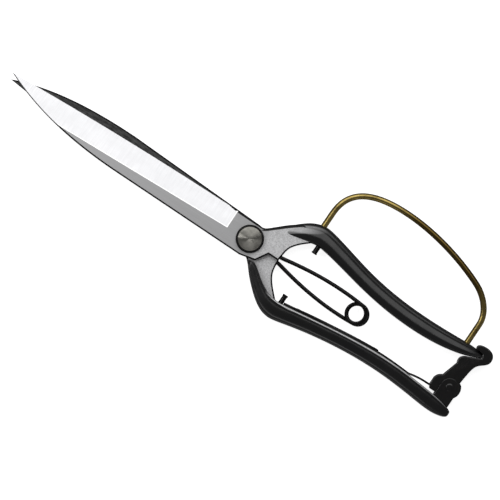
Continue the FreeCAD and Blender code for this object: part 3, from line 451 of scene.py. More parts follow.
def plain_steel(colours):
    """Washers and rivets: plain barrel-finished steel, dull grey."""
    made, tree, place = coat("Tumbled steel")
    dings = grain(tree, place, (0.9, 0.9, 0.9), detail=5.0)
    tint = mixed(tree, between(tree, dings, 0.3, 0.7), shade(colours.flat, 0.55), shade(colours.flat, 0.9))
    surface(tree, dings, 0.01 * MM, Base_Color=tint, Metallic=1.0,
            Roughness=between(tree, dings, 0.3, 0.7, 0.34, 0.5))
    return made


def aged_brass(colours):
    """Drawn brass rod left to tarnish: warm gold, brown oxide in soft patches, and painted shade that darkens the
    back of the bow.
    """
    made, tree, place = coat("Aged drawn brass")
    tarnish = grain(tree, place, (7.0, 7.0, 7.0), detail=6.0, roughness=0.6)
    specks = grain(tree, place, (0.8, 0.8, 0.8), detail=4.0)
    tint = mixed(tree, between(tree, tarnish, 0.40, 0.75), colours.brass, linear("#6B5B35"))
    # painted shade: the back of the bow is darkened to brown
    parts = axes(tree, place)
    painted_shade_on_bow = both(tree, between(tree, parts[0], 62.0, 95.0),
                     inverse(tree, between(tree, parts[0], 160.0, 178.0)))
    tint = mixed(tree, painted_shade_on_bow, tint, linear("#65532B"))
    tint = mixed(tree, between(tree, specks, 0.60, 0.80), tint, shade(colours.brass, 0.45))
    surface(tree, specks, 0.004 * MM, Base_Color=tint, Metallic=1.0,
            Roughness=between(tree, tarnish, 0.3, 0.7, 0.16, 0.28))
    return made


# -------------------------------------------------------------------------------------------- modelling
def placed(name, data):
    """Object that shows this data in the scene."""
    made = bpy.data.objects.new(name, data)
    bpy.context.scene.collection.objects.link(made)
    return made


def mesh_of(bm, name):
    """Mesh made from the bmesh, which is used up."""
    mesh = bpy.data.meshes.new(name)
    bm.to_mesh(mesh)
    bm.free()
    return mesh


def finished(carrier):
    """Bmesh of an object as its modifiers or its curve make it; the object is taken away again."""
    bpy.context.view_layer.update()
    result = bpy.data.meshes.new_from_object(carrier.evaluated_get(bpy.context.evaluated_depsgraph_get()))
    bm = bmesh.new()
    bm.from_mesh(result)
    bpy.data.objects.remove(carrier)
    bpy.data.meshes.remove(result)
    return bm


def is_level(edge):
    """Whether an edge lies flat."""
    return abs(edge.verts[0].co.z - edge.verts[1].co.z) < LEVEL


def raise_face(bm, corners, height):
    """Face through the corners, raised into a bar."""
    whole = bm.faces.new([bm.verts.new(corner) for corner in corners])
    grown = bmesh.ops.extrude_face_region(bm, geom=[whole])
    bmesh.ops.translate(bm, vec=(0, 0, height), verts=[
        v for v in grown["geom"] if isinstance(v, bmesh.types.BMVert)])


def face_out(bm):
    """Turn all faces outward."""
    bmesh.ops.recalc_face_normals(bm, faces=bm.faces)


def round_edges(bm, chosen, width, segments):
    """Round the edges that the test chooses."""
    bmesh.ops.bevel(bm, geom=[e for e in bm.edges if chosen(e)], offset=width, offset_type="OFFSET",
                    affect="EDGES", segments=segments, profile=0.5, material=-1, clamp_overlap=False)


def set_creases(bm, angle=38.0):
    """Smooth faces, with hard edges where the finish changes or the surface turns sharply."""
    limit = math.radians(angle)
    for face in bm.faces:
        face.smooth = True
    for edge in bm.edges:
        sides = edge.link_faces
        edge.smooth = (len(sides) == 2 and sides[0].material_index == sides[1].material_index
                       and edge.calc_face_angle(0.0) < limit)


def piece(bm, name, body, nodes, coats):
    """Turn the mesh into a piece that rides on a body and stands for these solids."""
    mesh = mesh_of(bm, name)
    for one in coats:
        mesh.materials.append(one)
    made = placed(name, mesh)
    if body:
        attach(made, body)
    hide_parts(*nodes)
    return made


def through(points, steps=8):
    """Points of a smooth line through the given ones, the last one left out."""
    points = [Vector(p) for p in points]
    ways = [(points[min(i + 1, len(points) - 1)] - points[max(i - 1, 0)]).normalized() for i in range(len(points))]
    line = []
    for start, end, leave, arrive in zip(points, points[1:], ways, ways[1:]):
        pull = (end - start).length / 3
        line += interpolate_bezier(start, start + leave * pull, end - arrive * pull, end, steps + 1)[:-1]
    return line


def modified(bm, kind, **settings):
    """The mesh after one modifier."""
    mesh = mesh_of(bm, "work")
    carrier = placed("work", mesh)
    modifier = carrier.modifiers.new("work", kind)
    for key, value in settings.items():
        setattr(modifier, key, value)
    out = finished(carrier)
    bpy.data.meshes.remove(mesh)
    return out


def without(bm, tool):
    """The mesh with the tool's mesh cut out of it."""
    mesh = mesh_of(tool, "tool")
    cutter = placed("tool", mesh)
    out = modified(bm, "BOOLEAN", operation="DIFFERENCE", object=cutter, solver="EXACT")
    bpy.data.objects.remove(cutter)
    bpy.data.meshes.remove(mesh)
    return out


def turned(profile, centre, towards=(0, 0, 1), steps=64):
    """Turned piece: a profile of (radius, height) in millimetres, spun round an axis from the centre."""
    bm = bmesh.new()
    verts = [bm.verts.new(mm(r, 0, h)) for r, h in profile]
    for a, b in zip(verts, verts[1:]):
        bm.edges.new((a, b))
    bmesh.ops.spin(bm, geom=bm.verts[:] + bm.edges[:], cent=(0, 0, 0), axis=(0, 0, 1), dvec=(0, 0, 0),
                   angle=2 * math.pi, steps=steps, use_merge=True, use_duplicate=False)
    bmesh.ops.remove_doubles(bm, verts=bm.verts, dist=WELD)
    face_out(bm)
    lie = Vector(towards).to_track_quat("Z", "X").to_matrix().to_4x4()
    bmesh.ops.transform(bm, matrix=Matrix.Translation(centre) @ lie, verts=bm.verts)
    return bm


def rod(knots, radius, steps=20):
    """Round rod along a line of knots: each is a point and its two handles."""
    curve = bpy.data.curves.new("rod", "CURVE")
    curve.dimensions, curve.bevel_depth, curve.bevel_resolution = "3D", radius, 6
    curve.resolution_u, curve.use_fill_caps = steps, True
    line = curve.splines.new("BEZIER")
    line.bezier_points.add(len(knots) - 1)
    for spot, (place, left, right) in zip(line.bezier_points, knots):
        spot.co, spot.handle_left, spot.handle_right = place, left, right
    bm = finished(placed("rod", curve))
    bpy.data.curves.remove(curve)
    bmesh.ops.remove_doubles(bm, verts=bm.verts, dist=WELD)
    face_out(bm)
    return bm


def straight(start, end):
    """Cubic curve that is a straight line."""
    return [start, start.lerp(end, 1 / 3), start.lerp(end, 2 / 3), end]


def knots(*beziers):
    """Knots of a line made of cubic curves, each given by its four points."""
    made = [(beziers[0][0], beziers[0][0], beziers[0][1])]
    for here, after in zip(beziers, beziers[1:]):
        made.append((here[3], here[2], after[1]))
    made.append((beziers[-1][3], beziers[-1][2], beziers[-1][3]))
    return made


def merged_solid(name):
    """Copy of a solid's mesh with its triangles joined."""
    bm = bmesh.new()
    bm.from_mesh(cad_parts[name].data)
    bmesh.ops.remove_doubles(bm, verts=bm.verts, dist=WELD / 2)
    return bm


def profile(name):
    """Places along the outline of a flat solid's upper face."""
    source = merged_solid(name)
    top = max(v.co.z for v in source.verts)
    rim = {}
    for edge in source.edges:
        flat = [f for f in edge.link_faces if f.normal.z > 0.99 and abs(f.calc_center_median().z - top) < 0.01 * MM]
        if len(flat) == 1:
            for a, b in (edge.verts, reversed(edge.verts)):
                rim.setdefault(a.index, []).append(b.index)
    places = {v.index: v.co.copy() for v in source.verts}
    source.free()
    loops, left = [], set(rim)
    while left:
        start = min(left)
        loop, here, before = [start], start, None
        left.discard(start)
        while True:
            after = next((n for n in rim[here] if n != before and n in left), None)
            if after is None:
                break
            loop.append(after)
            left.discard(after)
            before, here = here, after
        loops.append([places[i] for i in loop])
    return max(loops, key=lambda loop: max(p.x for p in loop) - min(p.x for p in loop))


def cut_from_bar(name, rounding, segments, spare=0.0):
    """Flat solid's outline, spare metres larger all round, as a bar of its own thickness with rounded rims."""
    low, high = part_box(name)
    outline = profile(name)
    pairs = zip(outline, outline[1:] + outline[:1])
    turn = 1 if sum(a.x * b.y - b.x * a.y for a, b in pairs) > 0 else -1
    corners = []
    for before, here, after in zip(outline[-1:] + outline[:-1], outline, outline[1:] + outline[:1]):
        way = (after - before).normalized()
        corners.append((here.x + way.y * turn * spare, here.y - way.x * turn * spare, low[2]))
    bm = bmesh.new()
    raise_face(bm, corners, high[2] - low[2])
    face_out(bm)
    round_edges(bm, is_level, rounding, segments)
    set_creases(bm, 50)
    return bm


# ------------------------------------------------------------------------------------------------ plates
def plate_outline(half):
    """Corners of a plate's outline: blade, pivot eye and shank up to its handle."""
    sizes = PLATE[half]
    tip, root = Vector(sizes["tip"]), Vector((PLUNGE_X, EDGE_Y))
    bow = Vector((0, EDGE_BOW))
    edge = interpolate_bezier(tip, tip.lerp(root, 1 / 3) + bow, tip.lerp(root, 2 / 3) + bow, root, 25)[:-1]
    inside = [(43.0, sizes["inside"]), (29.1, sizes["wall"]), THROAT[0]]
    line = edge + [root] + through(sizes["flank"], 10) + [Vector(sizes["flank"][-1])] + through(inside, 8)
    line += [Vector(p) for p in THROAT + [(0, -sizes["spine"][0])]] + belly(half)[:-1]
    return [mm(p.x, sizes["side"] * p.y, sizes["bottom"]) for p in line]


def bevel_cutter(half):
    """Wedge that the ground bevel takes off, from the plunge wall to beyond the tip."""
    sizes = PLATE[half]
    side, facing = sizes["side"], sizes["facing"]
    flat = sizes["bottom"] if facing > 0 else sizes["bottom"] + THICKNESS
    run = -sizes["tip"][0] + PLUNGE_X
    past_tip, bow, past_edge, over = 8.0, 1.5, 1.7, 4.0
    bm = bmesh.new()
    for along in (0.0, run + past_tip):
        line = bevel_line(PLUNGE_X - along)
        edge = EDGE_Y + bow - (EDGE_Y - sizes["tip"][1]) / run * along
        out, drop = line + (edge - line) * past_edge, (THICKNESS - EDGE_LAND) * past_edge
        for y, z in ((line, THICKNESS), (out, THICKNESS - drop), (out, THICKNESS + over), (line, THICKNESS + over)):
            bm.verts.new(mm(PLUNGE_X - along, side * y, flat + facing * z))
    bmesh.ops.convex_hull(bm, input=bm.verts)
    face_out(bm)
    return bm


def bore(diameter):
    """Round bar that cuts a hole on the pivot axis."""
    bm = bmesh.new()
    bmesh.ops.create_cone(bm, cap_ends=True, segments=64, radius1=diameter / 2 * MM, radius2=diameter / 2 * MM,
                          depth=60 * MM)
    return bm


class SHEARS_OT_blades(bpy.types.Operator):
    """Blades with their ground bevels, pivot eyes and shanks"""
    bl_idname = "shears.blades"
    bl_label = "Blades"

    def execute(self, context):
        sizes, colours = context.scene.shears_sizes, context.scene.shears_colours
        # the rims' matt black is a painted shade along the blades
        rims = rim_black_and_shade(colours)
        lapped = {
            "front": flat_steel(colours, band_line=[
                (2.0, 9.0), (4.8, 10.2), (12.0, 16.0), (20.0, 23.0), (31.0, 31.6)]),
            "rear": flat_steel(colours, "Lapped carbon steel, rear half"),
        }
        spine_darkened = flat_steel(colours, "Carbon steel, dark grey towards the spine", [
            (-216.0, -9.0), (-200.0, -6.0), (-188.0, 3.5), (-120.0, 7.6), (-20.0, 10.2)])
        for half, body in (("front", UPPER), ("rear", LOWER)):
            side = PLATE[half]["side"]
            ground_end, beside_root, off_spine = (PLUNGE_X + 0.1) * MM, (PLUNGE_X + 1.1) * MM, 0.5 * MM

            def is_rim(edge):
                a, b = (v.co for v in edge.verts)
                on_edge = max(a.x, b.x) < beside_root and min(side * a.y, side * b.y) > off_spine
                return is_level(edge) and not on_edge

            bm = bmesh.new()
            raise_face(bm, plate_outline(half), THICKNESS * MM)
            face_out(bm)
            round_edges(bm, is_rim, sizes.rim, 3)
            bm = without(bm, bevel_cutter(half))
            bm = without(bm, bore(BOLT_BORE))
            bm.normal_update()
            for face in bm.faces:
                up = face.normal.z
                if abs(up) > 0.999:
                    between_plates = up * PLATE[half]["facing"] < 0
                    face.material_index = 3 if between_plates and half == "rear" else 1
                elif abs(up) > 0.9 and face.calc_center_median().x < ground_end and side * face.normal.y > 0.05:
                    face.material_index = 0
                else:
                    face.material_index = 2
            set_creases(bm)
            piece(bm, half + "_blade", body, [half + "_half"], [
                bevel_steel(colours, half), lapped[half], rims, spine_darkened])
        return {"FINISHED"}


# ------------------------------------------------------------------------------------------------ handles
def handle_rings(half, spacing):
    """Sections of a handle: where it grows out of the shank, then as its solid has it up to its end."""
    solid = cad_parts[half + "_half"]
    bm = bmesh.new()
    bm.from_mesh(solid.data)
    tree = BVHTree.FromBMesh(bm)
    bm.free()
    side, end = PLATE[half]["side"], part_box(half + "_half")[1][0]
    rings = [tuple(v * MM for v in row) for row in GROWTH[half]]
    start = rings[-1][0] + 4 * MM
    count = round((end - start) / spacing)
    stops = [start + (end - start) * (i / count) for i in range(count)] + [end - d * MM for d in LAST_SECTIONS]
    for x in stops:
        left = (end - x) / MM
        # the faces are found over the level of the holes for pegs and guard
        level = (HANDLE_LEVEL + (2.6 if left > 6 else 1.0)) * MM
        inner = tree.ray_cast(Vector((x, 0, level)), Vector((0, side, 0)))[0].y
        outer = tree.ray_cast(Vector((x, OUTSIDE * side, level)), Vector((0, -side, 0)))[0].y
        y = (inner + outer) / 2
        low = tree.ray_cast(Vector((x, y, -OUTSIDE)), Vector((0, 0, 1)))[0].z
        high = tree.ray_cast(Vector((x, y, OUTSIDE)), Vector((0, 0, -1)))[0].z
        fuller = (SWELL[half] * math.exp(-left / SWELL_FADE) - NOSE[half] * math.exp(-left / NOSE_FADE)) * side * MM
        reach = BEAK_REACH[half] * MM if left < 2 else 0.0
        rings.append((x + reach, inner - fuller, outer + fuller, low, high))
    return rings


class SHEARS_OT_handles(bpy.types.Operator):
    """Forged handles that grow out of the shanks"""
    bl_idname = "shears.handles"
    bl_label = "Handles"

    def execute(self, context):
        sizes, colours = context.scene.shears_sizes, context.scene.shears_colours
        coats = {
            "front": handle_black(colours, "Satin black lacquer, ground off the shank", front_ground, 0.65),
            # the rear handle's bright ridge line is a painted highlight
            "rear": handle_black(colours, "Satin black lacquer with a painted highlight on its ridge", rear_ridge_highlight, 1.25),
        }
        for half, body in (("front", UPPER), ("rear", LOWER)):
            bm = bmesh.new()
            section, loops = SECTION[half], []
            for x, inner, outer, low, high in handle_rings(half, sizes.handle_spacing):
                ring = bmesh.ops.create_circle(bm, segments=len(section), radius=1.0)["verts"]
                for vert, (across, up) in zip(ring, section):
                    vert.co = (x, inner + (outer - inner) * across, (low + high) / 2 + (high - low) / 2 * up)
                loops.append(ring)
            bm.edges.ensure_lookup_table()
            for before, after in zip(loops, loops[1:]):
                near = {e for v in before + after for e in v.link_edges
                        if all(w in before for w in e.verts) or all(w in after for w in e.verts)}
                bmesh.ops.bridge_loops(bm, edges=list(near))
            for ring in (loops[0], loops[-1]):
                bm.faces.new(ring)
            face_out(bm)
            set_creases(bm, 180)
            made = piece(bm, half + "_handle", body, [half + "_half"], [coats[half]])
            smoother = made.modifiers.new("Smoothing", "SUBSURF")
            smoother.levels = smoother.render_levels = 2
        return {"FINISHED"}


# -------------------------------------------------------------------------------------------------- pivot
class SHEARS_OT_pivot(bpy.types.Operator):
    """Pivot bolt with its turned head, its washers and its slotted round nut"""
    bl_idname = "shears.pivot"
    bl_label = "Pivot"

    def execute(self, context):
        colours = context.scene.shears_colours
        face, steel = turned_steel(colours), plain_steel(colours)
        rim = spring_black(colours, "Blackened bolt rim", 0.4)
        # shank, seat of the head, its rim and fine groove, then its low dome and centre mark
        bm = turned([
            (0, 0), (3.9, 0), (4.5, 0.6), (4.5, 13.5), (9.2, 13.5), (9.6, 13.7), (9.7, 14.1), (9.7, 15.3),
            (9.55, 15.75), (9.15, 16.1), (8.95, 16.12), (8.85, 16.06), (8.75, 16.12), (6.0, 16.66), (3.0, 16.98),
            (0.6, 17.06), (0.35, 16.9), (0, 16.85)], Vector())
        rings = bm.loops.layers.uv.new("rings")
        rim_top, groove = 16.0 * MM, 8.8 * MM
        for one in bm.faces:
            centre = one.calc_center_median()
            one.material_index = 0 if centre.z > rim_top and centre.to_2d().length < groove else 1
            about = math.atan2(centre.y, centre.x)
            for corner in one.loops:
                angle = math.atan2(corner.vert.co.y, corner.vert.co.x)
                angle += 2 * math.pi * round((about - angle) / (2 * math.pi))
                corner[rings].uv = (angle / (2 * math.pi), corner.vert.co.to_2d().length / (10 * MM))
        set_creases(bm, 50)
        piece(bm, "pivot_bolt_turned", LOWER, ["pivot_bolt"], [face, rim])

        hole, edge = 4.53, 0.25
        for name, radius, bottom, top, finish in (
                ("bolt_washer", 10.5, 12.5, 13.5, rim), ("nut_washer", 10.0, 2.0, 2.8, steel)):
            bm = turned([
                (hole, bottom), (radius - edge, bottom), (radius, bottom + edge), (radius, top - edge),
                (radius - edge, top), (hole, top), (hole, bottom)], Vector())
            set_creases(bm)
            piece(bm, name + "_turned", LOWER, [name], [finish])

        bm = turned([(hole, 0), (8.2, 0), (8.6, 0.1), (9.0, 0.5), (9.0, 1.7), (8.7, 2.0), (hole, 2.0), (hole, 0)],
                    Vector())
        slot, width, length = bmesh.new(), 1.8 * MM, 30 * MM
        bmesh.ops.create_cube(slot, size=1.0, matrix=Matrix.Diagonal((length, width, width, 1)))
        bm = without(bm, slot)
        set_creases(bm)
        piece(bm, "pivot_nut_turned", LOWER, ["pivot_nut"], [rim])
        return {"FINISHED"}


# --------------------------------------------------------------------------------------------------- pegs
class SHEARS_OT_pegs(bpy.types.Operator):
    """Stop pegs with their swaged ends"""
    bl_idname = "shears.pegs"
    bl_label = "Stop pegs"

    def execute(self, context):
        black = spring_black(context.scene.shears_colours, "Blackened peg steel", 0.22)
        for name, body, inward in (("upper_stop_peg", UPPER, -1), ("lower_stop_peg", LOWER, 1)):
            low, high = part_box(name)
            length = (high[1] - low[1]) / MM
            root = Vector((middle(name).x, (low if inward > 0 else high)[1], middle(name).z))
            # plain in its hole, a filed collar where it comes out, and a swaged end
            bm = turned([
                (0, 0), (1.9, 0), (1.9, 4.4), (2.12, 4.9), (1.95, 5.5), (1.9, 5.9), (1.9, length - 1.6),
                (2.02, length - 1.1), (2.2, length - 0.85), (2.25, length - 0.55), (2.18, length - 0.25),
                (1.9, length - 0.05), (1.3, length), (0, length - 0.04)], root, (0, inward, 0))
            set_creases(bm, 50)
            piece(bm, name + "_swaged", body, [name], [black])
        return {"FINISHED"}


# ------------------------------------------------------------------------------------------------- spring
class SHEARS_OT_spring(bpy.types.Operator):
    """Hairpin spring: two long legs and the coil that joins them"""
    bl_idname = "shears.spring"
    bl_label = "Main spring"

    def execute(self, context):
        sizes = context.scene.shears_sizes
        black = spring_black(context.scene.shears_colours)
        centre, high, low = mm(96.7, -1.8, 7.65), 10.1 * MM, 5.2 * MM
        lean, sweep, steps = math.radians(5), math.radians(530), 106
        hole_end, mouth_end, first_pull, last_pull = 19.2 * MM, 27.2 * MM, 3 * MM, 37 * MM
        # the lower turn lies behind the upper one, so that both show
        shear = Matrix.Identity(4)
        shear[0][2] = -sizes.coil_shift / (high - low)
        shear[0][3] = -shear[0][2] * centre.z

        def foot(side, level):
            """Where a leg meets the coil."""
            about = side * (math.pi / 2 - lean)
            spot = Vector((centre.x + sizes.coil * math.cos(about), centre.y + sizes.coil * math.sin(about), level))
            return shear @ spot

        for name, side, level, y, body, other in (
                ("spring_upper_leg", 1, high, 1.3, UPPER, LOWER), ("spring_lower_leg", -1, low, -3.3, LOWER, UPPER)):
            start, mouth = Vector((hole_end, y * MM, level)), Vector((mouth_end, y * MM, level))
            end = foot(side, level)
            arrival = Vector((math.cos(lean), -side * math.sin(lean), 0))
            bend = [mouth, mouth + Vector((first_pull, 0, 0)), end - arrival * last_pull, end]
            bm = rod(knots(straight(start, mouth), bend), sizes.wire / 2, 32)
            set_creases(bm, 60)
            leg = piece(bm, name, None, ["main_spring"], [black])
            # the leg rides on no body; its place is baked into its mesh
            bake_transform(leg)

        bm = bmesh.new()
        ring = bmesh.ops.create_circle(bm, segments=28, radius=sizes.wire / 2, matrix=Matrix.Translation(
            (centre.x + sizes.coil, centre.y, high)) @ Matrix.Rotation(math.pi / 2, 4, "X"))["verts"]
        bmesh.ops.rotate(bm, verts=ring, cent=centre, matrix=Matrix.Rotation(math.pi / 2 - lean, 3, "Z"))
        bm.faces.new(ring)
        swept = bmesh.ops.spin(bm, geom=bm.edges[:], cent=centre, axis=(0, 0, 1),
                               dvec=(0, 0, (low - high) / steps), angle=-sweep, steps=steps,
                               use_merge=False, use_duplicate=False)
        last = [v for v in swept["geom_last"] if isinstance(v, bmesh.types.BMVert)]
        last += [e for e in swept["geom_last"] if isinstance(e, bmesh.types.BMEdge)]
        bmesh.ops.contextual_create(bm, geom=last)
        bmesh.ops.remove_doubles(bm, verts=bm.verts, dist=WELD)
        bmesh.ops.transform(bm, matrix=shear, verts=bm.verts)
        face_out(bm)
        set_creases(bm, 60)
        coil = piece(bm, "spring_coil", None, ["main_spring"], [black])
        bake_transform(coil)
        return {"FINISHED"}


# -------------------------------------------------------------------------------------------------- guard
class SHEARS_OT_guard(bpy.types.Operator):
    """Brass rod bent into a bow over the upper handle"""
    bl_idname = "shears.guard"
    bl_label = "Hand guard"

    def execute(self, context):
        brass = aged_brass(context.scene.shears_colours)
        radius = context.scene.shears_sizes.guard_rod / 2
        level = middle("hand_guard").z
        fall = math.radians(22.6)
        falling = Vector((math.cos(fall), -math.sin(fall), 0))

        def bend(start, leaving, end, arriving, first, last):
            """Curve that keeps its directions at both ends over these shares of its span."""
            span = (end - start).length
            return [start, start + leaving * span * first, end - arriving * span * last, end]

        along, up = Vector((1, 0, 0)), Vector((0, 1, 0))
        # front foot, the end of its straight part, the bow's crown and rear shoulder, and the same at the rear foot
        front, front_rise, crown, shoulder, rear_rise, rear = (mm(x, y) + Vector((0, 0, level)) for x, y in (
            (40.3, 33.0), (40.3, 50.0), (88.0, 80.7), (157.0, 66.3), (176.3, 42.5), (176.3, 20.6)))
        bm = rod(knots(
            straight(front, front_rise), bend(front_rise, up, crown, along, 0.39, 0.53),
            bend(crown, along, shoulder, falling, 0.29, 0.35), bend(shoulder, falling, rear_rise, -up, 0.39, 0.31),
            straight(rear_rise, rear)), radius, 28)
        set_creases(bm, 60)
        piece(bm, "guard_rod", UPPER, ["hand_guard"], [brass])
        return {"FINISHED"}


# -------------------------------------------------------------------------------------------------- latch
def handle_edge():
    """Room that the lower handle's two inner edges take from the bracket's ears."""
    spacing, bracket_start, gap = 4 * MM, 165 * MM, 0.1 * MM
    stops = [(ring[0], ring[1] + gap) for ring in handle_rings("rear", spacing) if ring[0] > bracket_start]
    behind, under = stops[-1][0] + spacing, -45 * MM
    outline = stops + [(behind, stops[-1][1]), (behind, under), (stops[0][0], under)]
    bm = bmesh.new()
    for low, high in ((-2.0, 3.2), (12.0, 20.0)):
        raise_face(bm, [(x, y, low * MM) for x, y in outline], (high - low) * MM)
    face_out(bm)
    return bm


class SHEARS_OT_latch(bpy.types.Operator):
    """Tail latch: hooked lever, forked bracket and pin"""
    bl_idname = "shears.latch"
    bl_label = "Latch"

    def execute(self, context):
        sizes, colours = context.scene.shears_sizes, context.scene.shears_colours
        gloss = spring_black(colours, "Polished black steel", 0.12, 0.6)
        satin = spring_black(colours, "Black steel of the bracket", 0.14, 0.6)

        bm = cut_from_bar("latch_lever", sizes.lever_rounding, 4)
        piece(bm, "latch_lever_forged", LATCH, ["latch_lever"], [gloss])

        bm = merged_solid("latch_bracket")
        bmesh.ops.dissolve_limit(bm, angle_limit=math.radians(0.5), verts=bm.verts, edges=bm.edges)
        bm = without(bm, handle_edge())
        set_creases(bm, 30)
        bracket = piece(bm, "latch_bracket_forged", LOWER, ["latch_bracket"], [satin])
        softened = bracket.modifiers.new("Broken edges", "BEVEL")
        softened.width, softened.segments, softened.limit_method = 0.6 * MM, 3, "ANGLE"
        softened.angle_limit, softened.harden_normals = math.radians(35), True
        softened.use_clamp_overlap = False

        pin_low, pin_high = (end[2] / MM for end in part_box("latch_pin"))
        centre = middle("latch_pin")
        bm = turned([
            (0, pin_low), (2.2, pin_low + 0.05), (2.9, pin_low + 0.2), (3.1, pin_low + 0.4), (2.0, pin_low + 0.4),
            (2.0, pin_high - 0.6), (3.1, pin_high - 0.6), (3.0, pin_high - 0.42), (2.5, pin_high - 0.15),
            (1.6, pin_high - 0.03), (0, pin_high)], Vector((centre.x, centre.y, 0)), steps=48)
        set_creases(bm, 50)
        piece(bm, "latch_pin_domed", LOWER, ["latch_pin"], [gloss])
        return {"FINISHED"}


class SHEARS_OT_leaf(bpy.types.Operator):
    """Leaf spring of the latch and its rivets"""
    bl_idname = "shears.leaf"
    bl_label = "Leaf spring"

    def execute(self, context):
        colours = context.scene.shears_colours
        black = spring_black(colours, "Blackened leaf steel", 0.2)
        bm = cut_from_bar("latch_leaf_spring", 0.2 * MM, 2, 0.25 * MM)
        # the leaf's front end is drawn out along the handle, up to the stop peg
        front_end, drawn_out = 52 * MM, mm(-3.3, -0.4)
        bmesh.ops.translate(bm, verts=[v for v in bm.verts if v.co.x < front_end], vec=drawn_out)
        piece(bm, "leaf_spring_rolled", LOWER, ["latch_leaf_spring"], [black])

        for name in ("leaf_rivet_front", "leaf_rivet_rear"):
            # a rivet points the way that its solid's own head does
            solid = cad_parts[name].data
            out = max(solid.polygons, key=lambda face: face.normal.y).normal.copy()
            height = max(v.co.dot(out) for v in solid.vertices)
            rim = [v.co for v in solid.vertices if height - v.co.dot(out) < 0.01 * MM]
            bm = turned([
                (0, -4.0), (1.2, -4.0), (1.2, -0.5), (1.9, -0.5), (1.8, -0.26), (1.2, -0.14), (0, -0.1)],
                sum(rim, Vector()) / len(rim), out, 32)
            set_creases(bm, 50)
            piece(bm, name + "_domed", LOWER, [name], [black])
        dull = plain_steel(colours)
        for name in ("bracket_rivet_front", "bracket_rivet_rear"):
            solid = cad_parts[name]
            solid.data.materials.clear()
            solid.data.materials.append(dull)
        return {"FINISHED"}


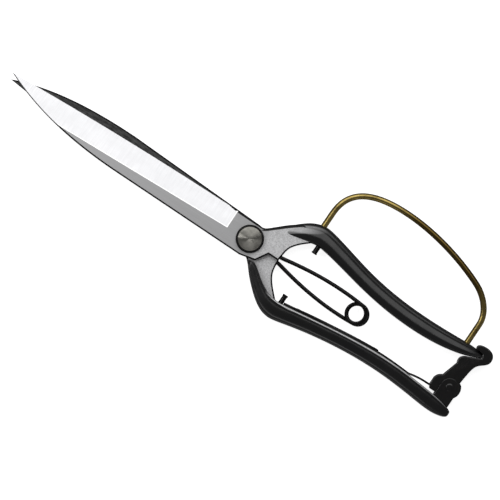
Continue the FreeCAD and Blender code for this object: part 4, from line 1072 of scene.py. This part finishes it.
# -------------------------------------------------------------------------------------------------- stage
class SHEARS_OT_stage(bpy.types.Operator):
    """Pale floor, soft studio light and the camera"""
    bl_idname = "shears.stage"
    bl_label = "Stage"

    def execute(self, context):
        scene, colours = context.scene, context.scene.shears_colours
        paper, tree, _ = coat("White paper")
        # seen directly, the paper is white with the shears' shadow on it; polished steel sees it as a grey card
        path = node(tree, "ShaderNodeLightPath")
        matt = node(tree, "ShaderNodeBsdfDiffuse", {"Color": colours.floor})
        glow = node(tree, "ShaderNodeEmission", {
            "Strength": maths(tree, "MULTIPLY", path.outputs["Is Camera Ray"], 0.85)})
        paper_white = node(tree, "ShaderNodeAddShader", {0: matt, 1: glow})
        card = node(tree, "ShaderNodeEmission", {"Strength": 0.2})
        node(tree, "ShaderNodeOutputMaterial", {"Surface": node(
            tree, "ShaderNodeMixShader", {0: path.outputs["Is Glossy Ray"], 1: paper_white, 2: card})})
        bm = bmesh.new()
        bmesh.ops.create_grid(bm, x_segments=1, y_segments=1, size=3.0)
        bmesh.ops.translate(bm, vec=(0, 0, -0.2 * MM), verts=bm.verts)
        mesh = mesh_of(bm, "floor")
        mesh.materials.append(paper)
        floor = placed("floor", mesh)

        world = bpy.data.worlds.new("Studio")
        world.use_nodes = True
        world.node_tree.nodes.clear()
        path = node(world.node_tree, "ShaderNodeLightPath")
        level = between(world.node_tree, path.outputs["Is Camera Ray"], 0.0, 1.0, 0.16, 1.0)
        sky = node(world.node_tree, "ShaderNodeBackground", {"Color": (1, 1, 1, 1), "Strength": level})
        node(world.node_tree, "ShaderNodeOutputWorld", {"Surface": sky})
        scene.world = world

        # azimuth and height in degrees, distance, width and height in metres, and power in watts
        for name, about, rise, distance, wide, high, power in (
                ("key_softbox", 118, 51, 1.2, 1.8, 1.15, 8.7), ("low_strip", -60, 24, 1.3, 1.2, 0.25, 0.6),
                ("left_lamp", 195, 50, 1.2, 0.3, 0.3, 1.6)):
            lamp = bpy.data.lights.new(name, "AREA")
            lamp.shape, lamp.size, lamp.size_y, lamp.energy = "RECTANGLE", wide, high, power
            light = placed(name, lamp)
            turn, tilt = math.radians(about), math.radians(rise)
            light.location = Vector((
                math.cos(turn) * math.cos(tilt), math.sin(turn) * math.cos(tilt), math.sin(tilt))) * distance
            light.rotation_mode = "QUATERNION"
            light.rotation_quaternion = light.location.to_track_quat("Z", "Y")

        lens = bpy.data.cameras.new("camera")
        camera = placed("camera", lens)
        # the camera hangs over the shears, turned so that they lie across the picture with the tips at top left
        distance, width = 2.5, 0.370
        lens.sensor_width = 36.0
        lens.lens = lens.sensor_width * distance / width
        camera.location = (0.0047, -0.0068, 0.0102 + distance)
        camera.rotation_euler = (0, 0, math.radians(34))
        scene.camera = camera
        scene.view_settings.view_transform = "Standard"
        return {"FINISHED"}


OPERATORS = (
    SHEARS_OT_blades, SHEARS_OT_handles, SHEARS_OT_pivot, SHEARS_OT_pegs, SHEARS_OT_spring, SHEARS_OT_guard,
    SHEARS_OT_latch, SHEARS_OT_leaf, SHEARS_OT_stage)


class SHEARS_PT_panel(bpy.types.Panel):
    """Buttons that build the shears' pieces"""
    bl_idname = "SHEARS_PT_panel"
    bl_label = "Trimming shears"
    bl_space_type = "VIEW_3D"
    bl_region_type = "UI"
    bl_category = "Shears"

    def draw(self, context):
        for operator in OPERATORS:
            self.layout.operator(operator.bl_idname)
        for group in (context.scene.shears_sizes, context.scene.shears_colours):
            for key in group.__annotations__:
                self.layout.prop(group, key)


CLASSES = (ShearsSizes, ShearsColours, *OPERATORS, SHEARS_PT_panel)


def register():
    for one in CLASSES:
        bpy.utils.register_class(one)
    bpy.types.Scene.shears_sizes = bpy.props.PointerProperty(type=ShearsSizes)
    bpy.types.Scene.shears_colours = bpy.props.PointerProperty(type=ShearsColours)


def unregister():
    del bpy.types.Scene.shears_sizes, bpy.types.Scene.shears_colours
    for one in reversed(CLASSES):
        bpy.utils.unregister_class(one)


def main():
    register()
    for step in (
            bpy.ops.shears.stage, bpy.ops.shears.blades, bpy.ops.shears.handles, bpy.ops.shears.pivot,
            bpy.ops.shears.pegs, bpy.ops.shears.spring, bpy.ops.shears.guard, bpy.ops.shears.latch,
            bpy.ops.shears.leaf):
        step()


if __name__ == "__main__":
    main()
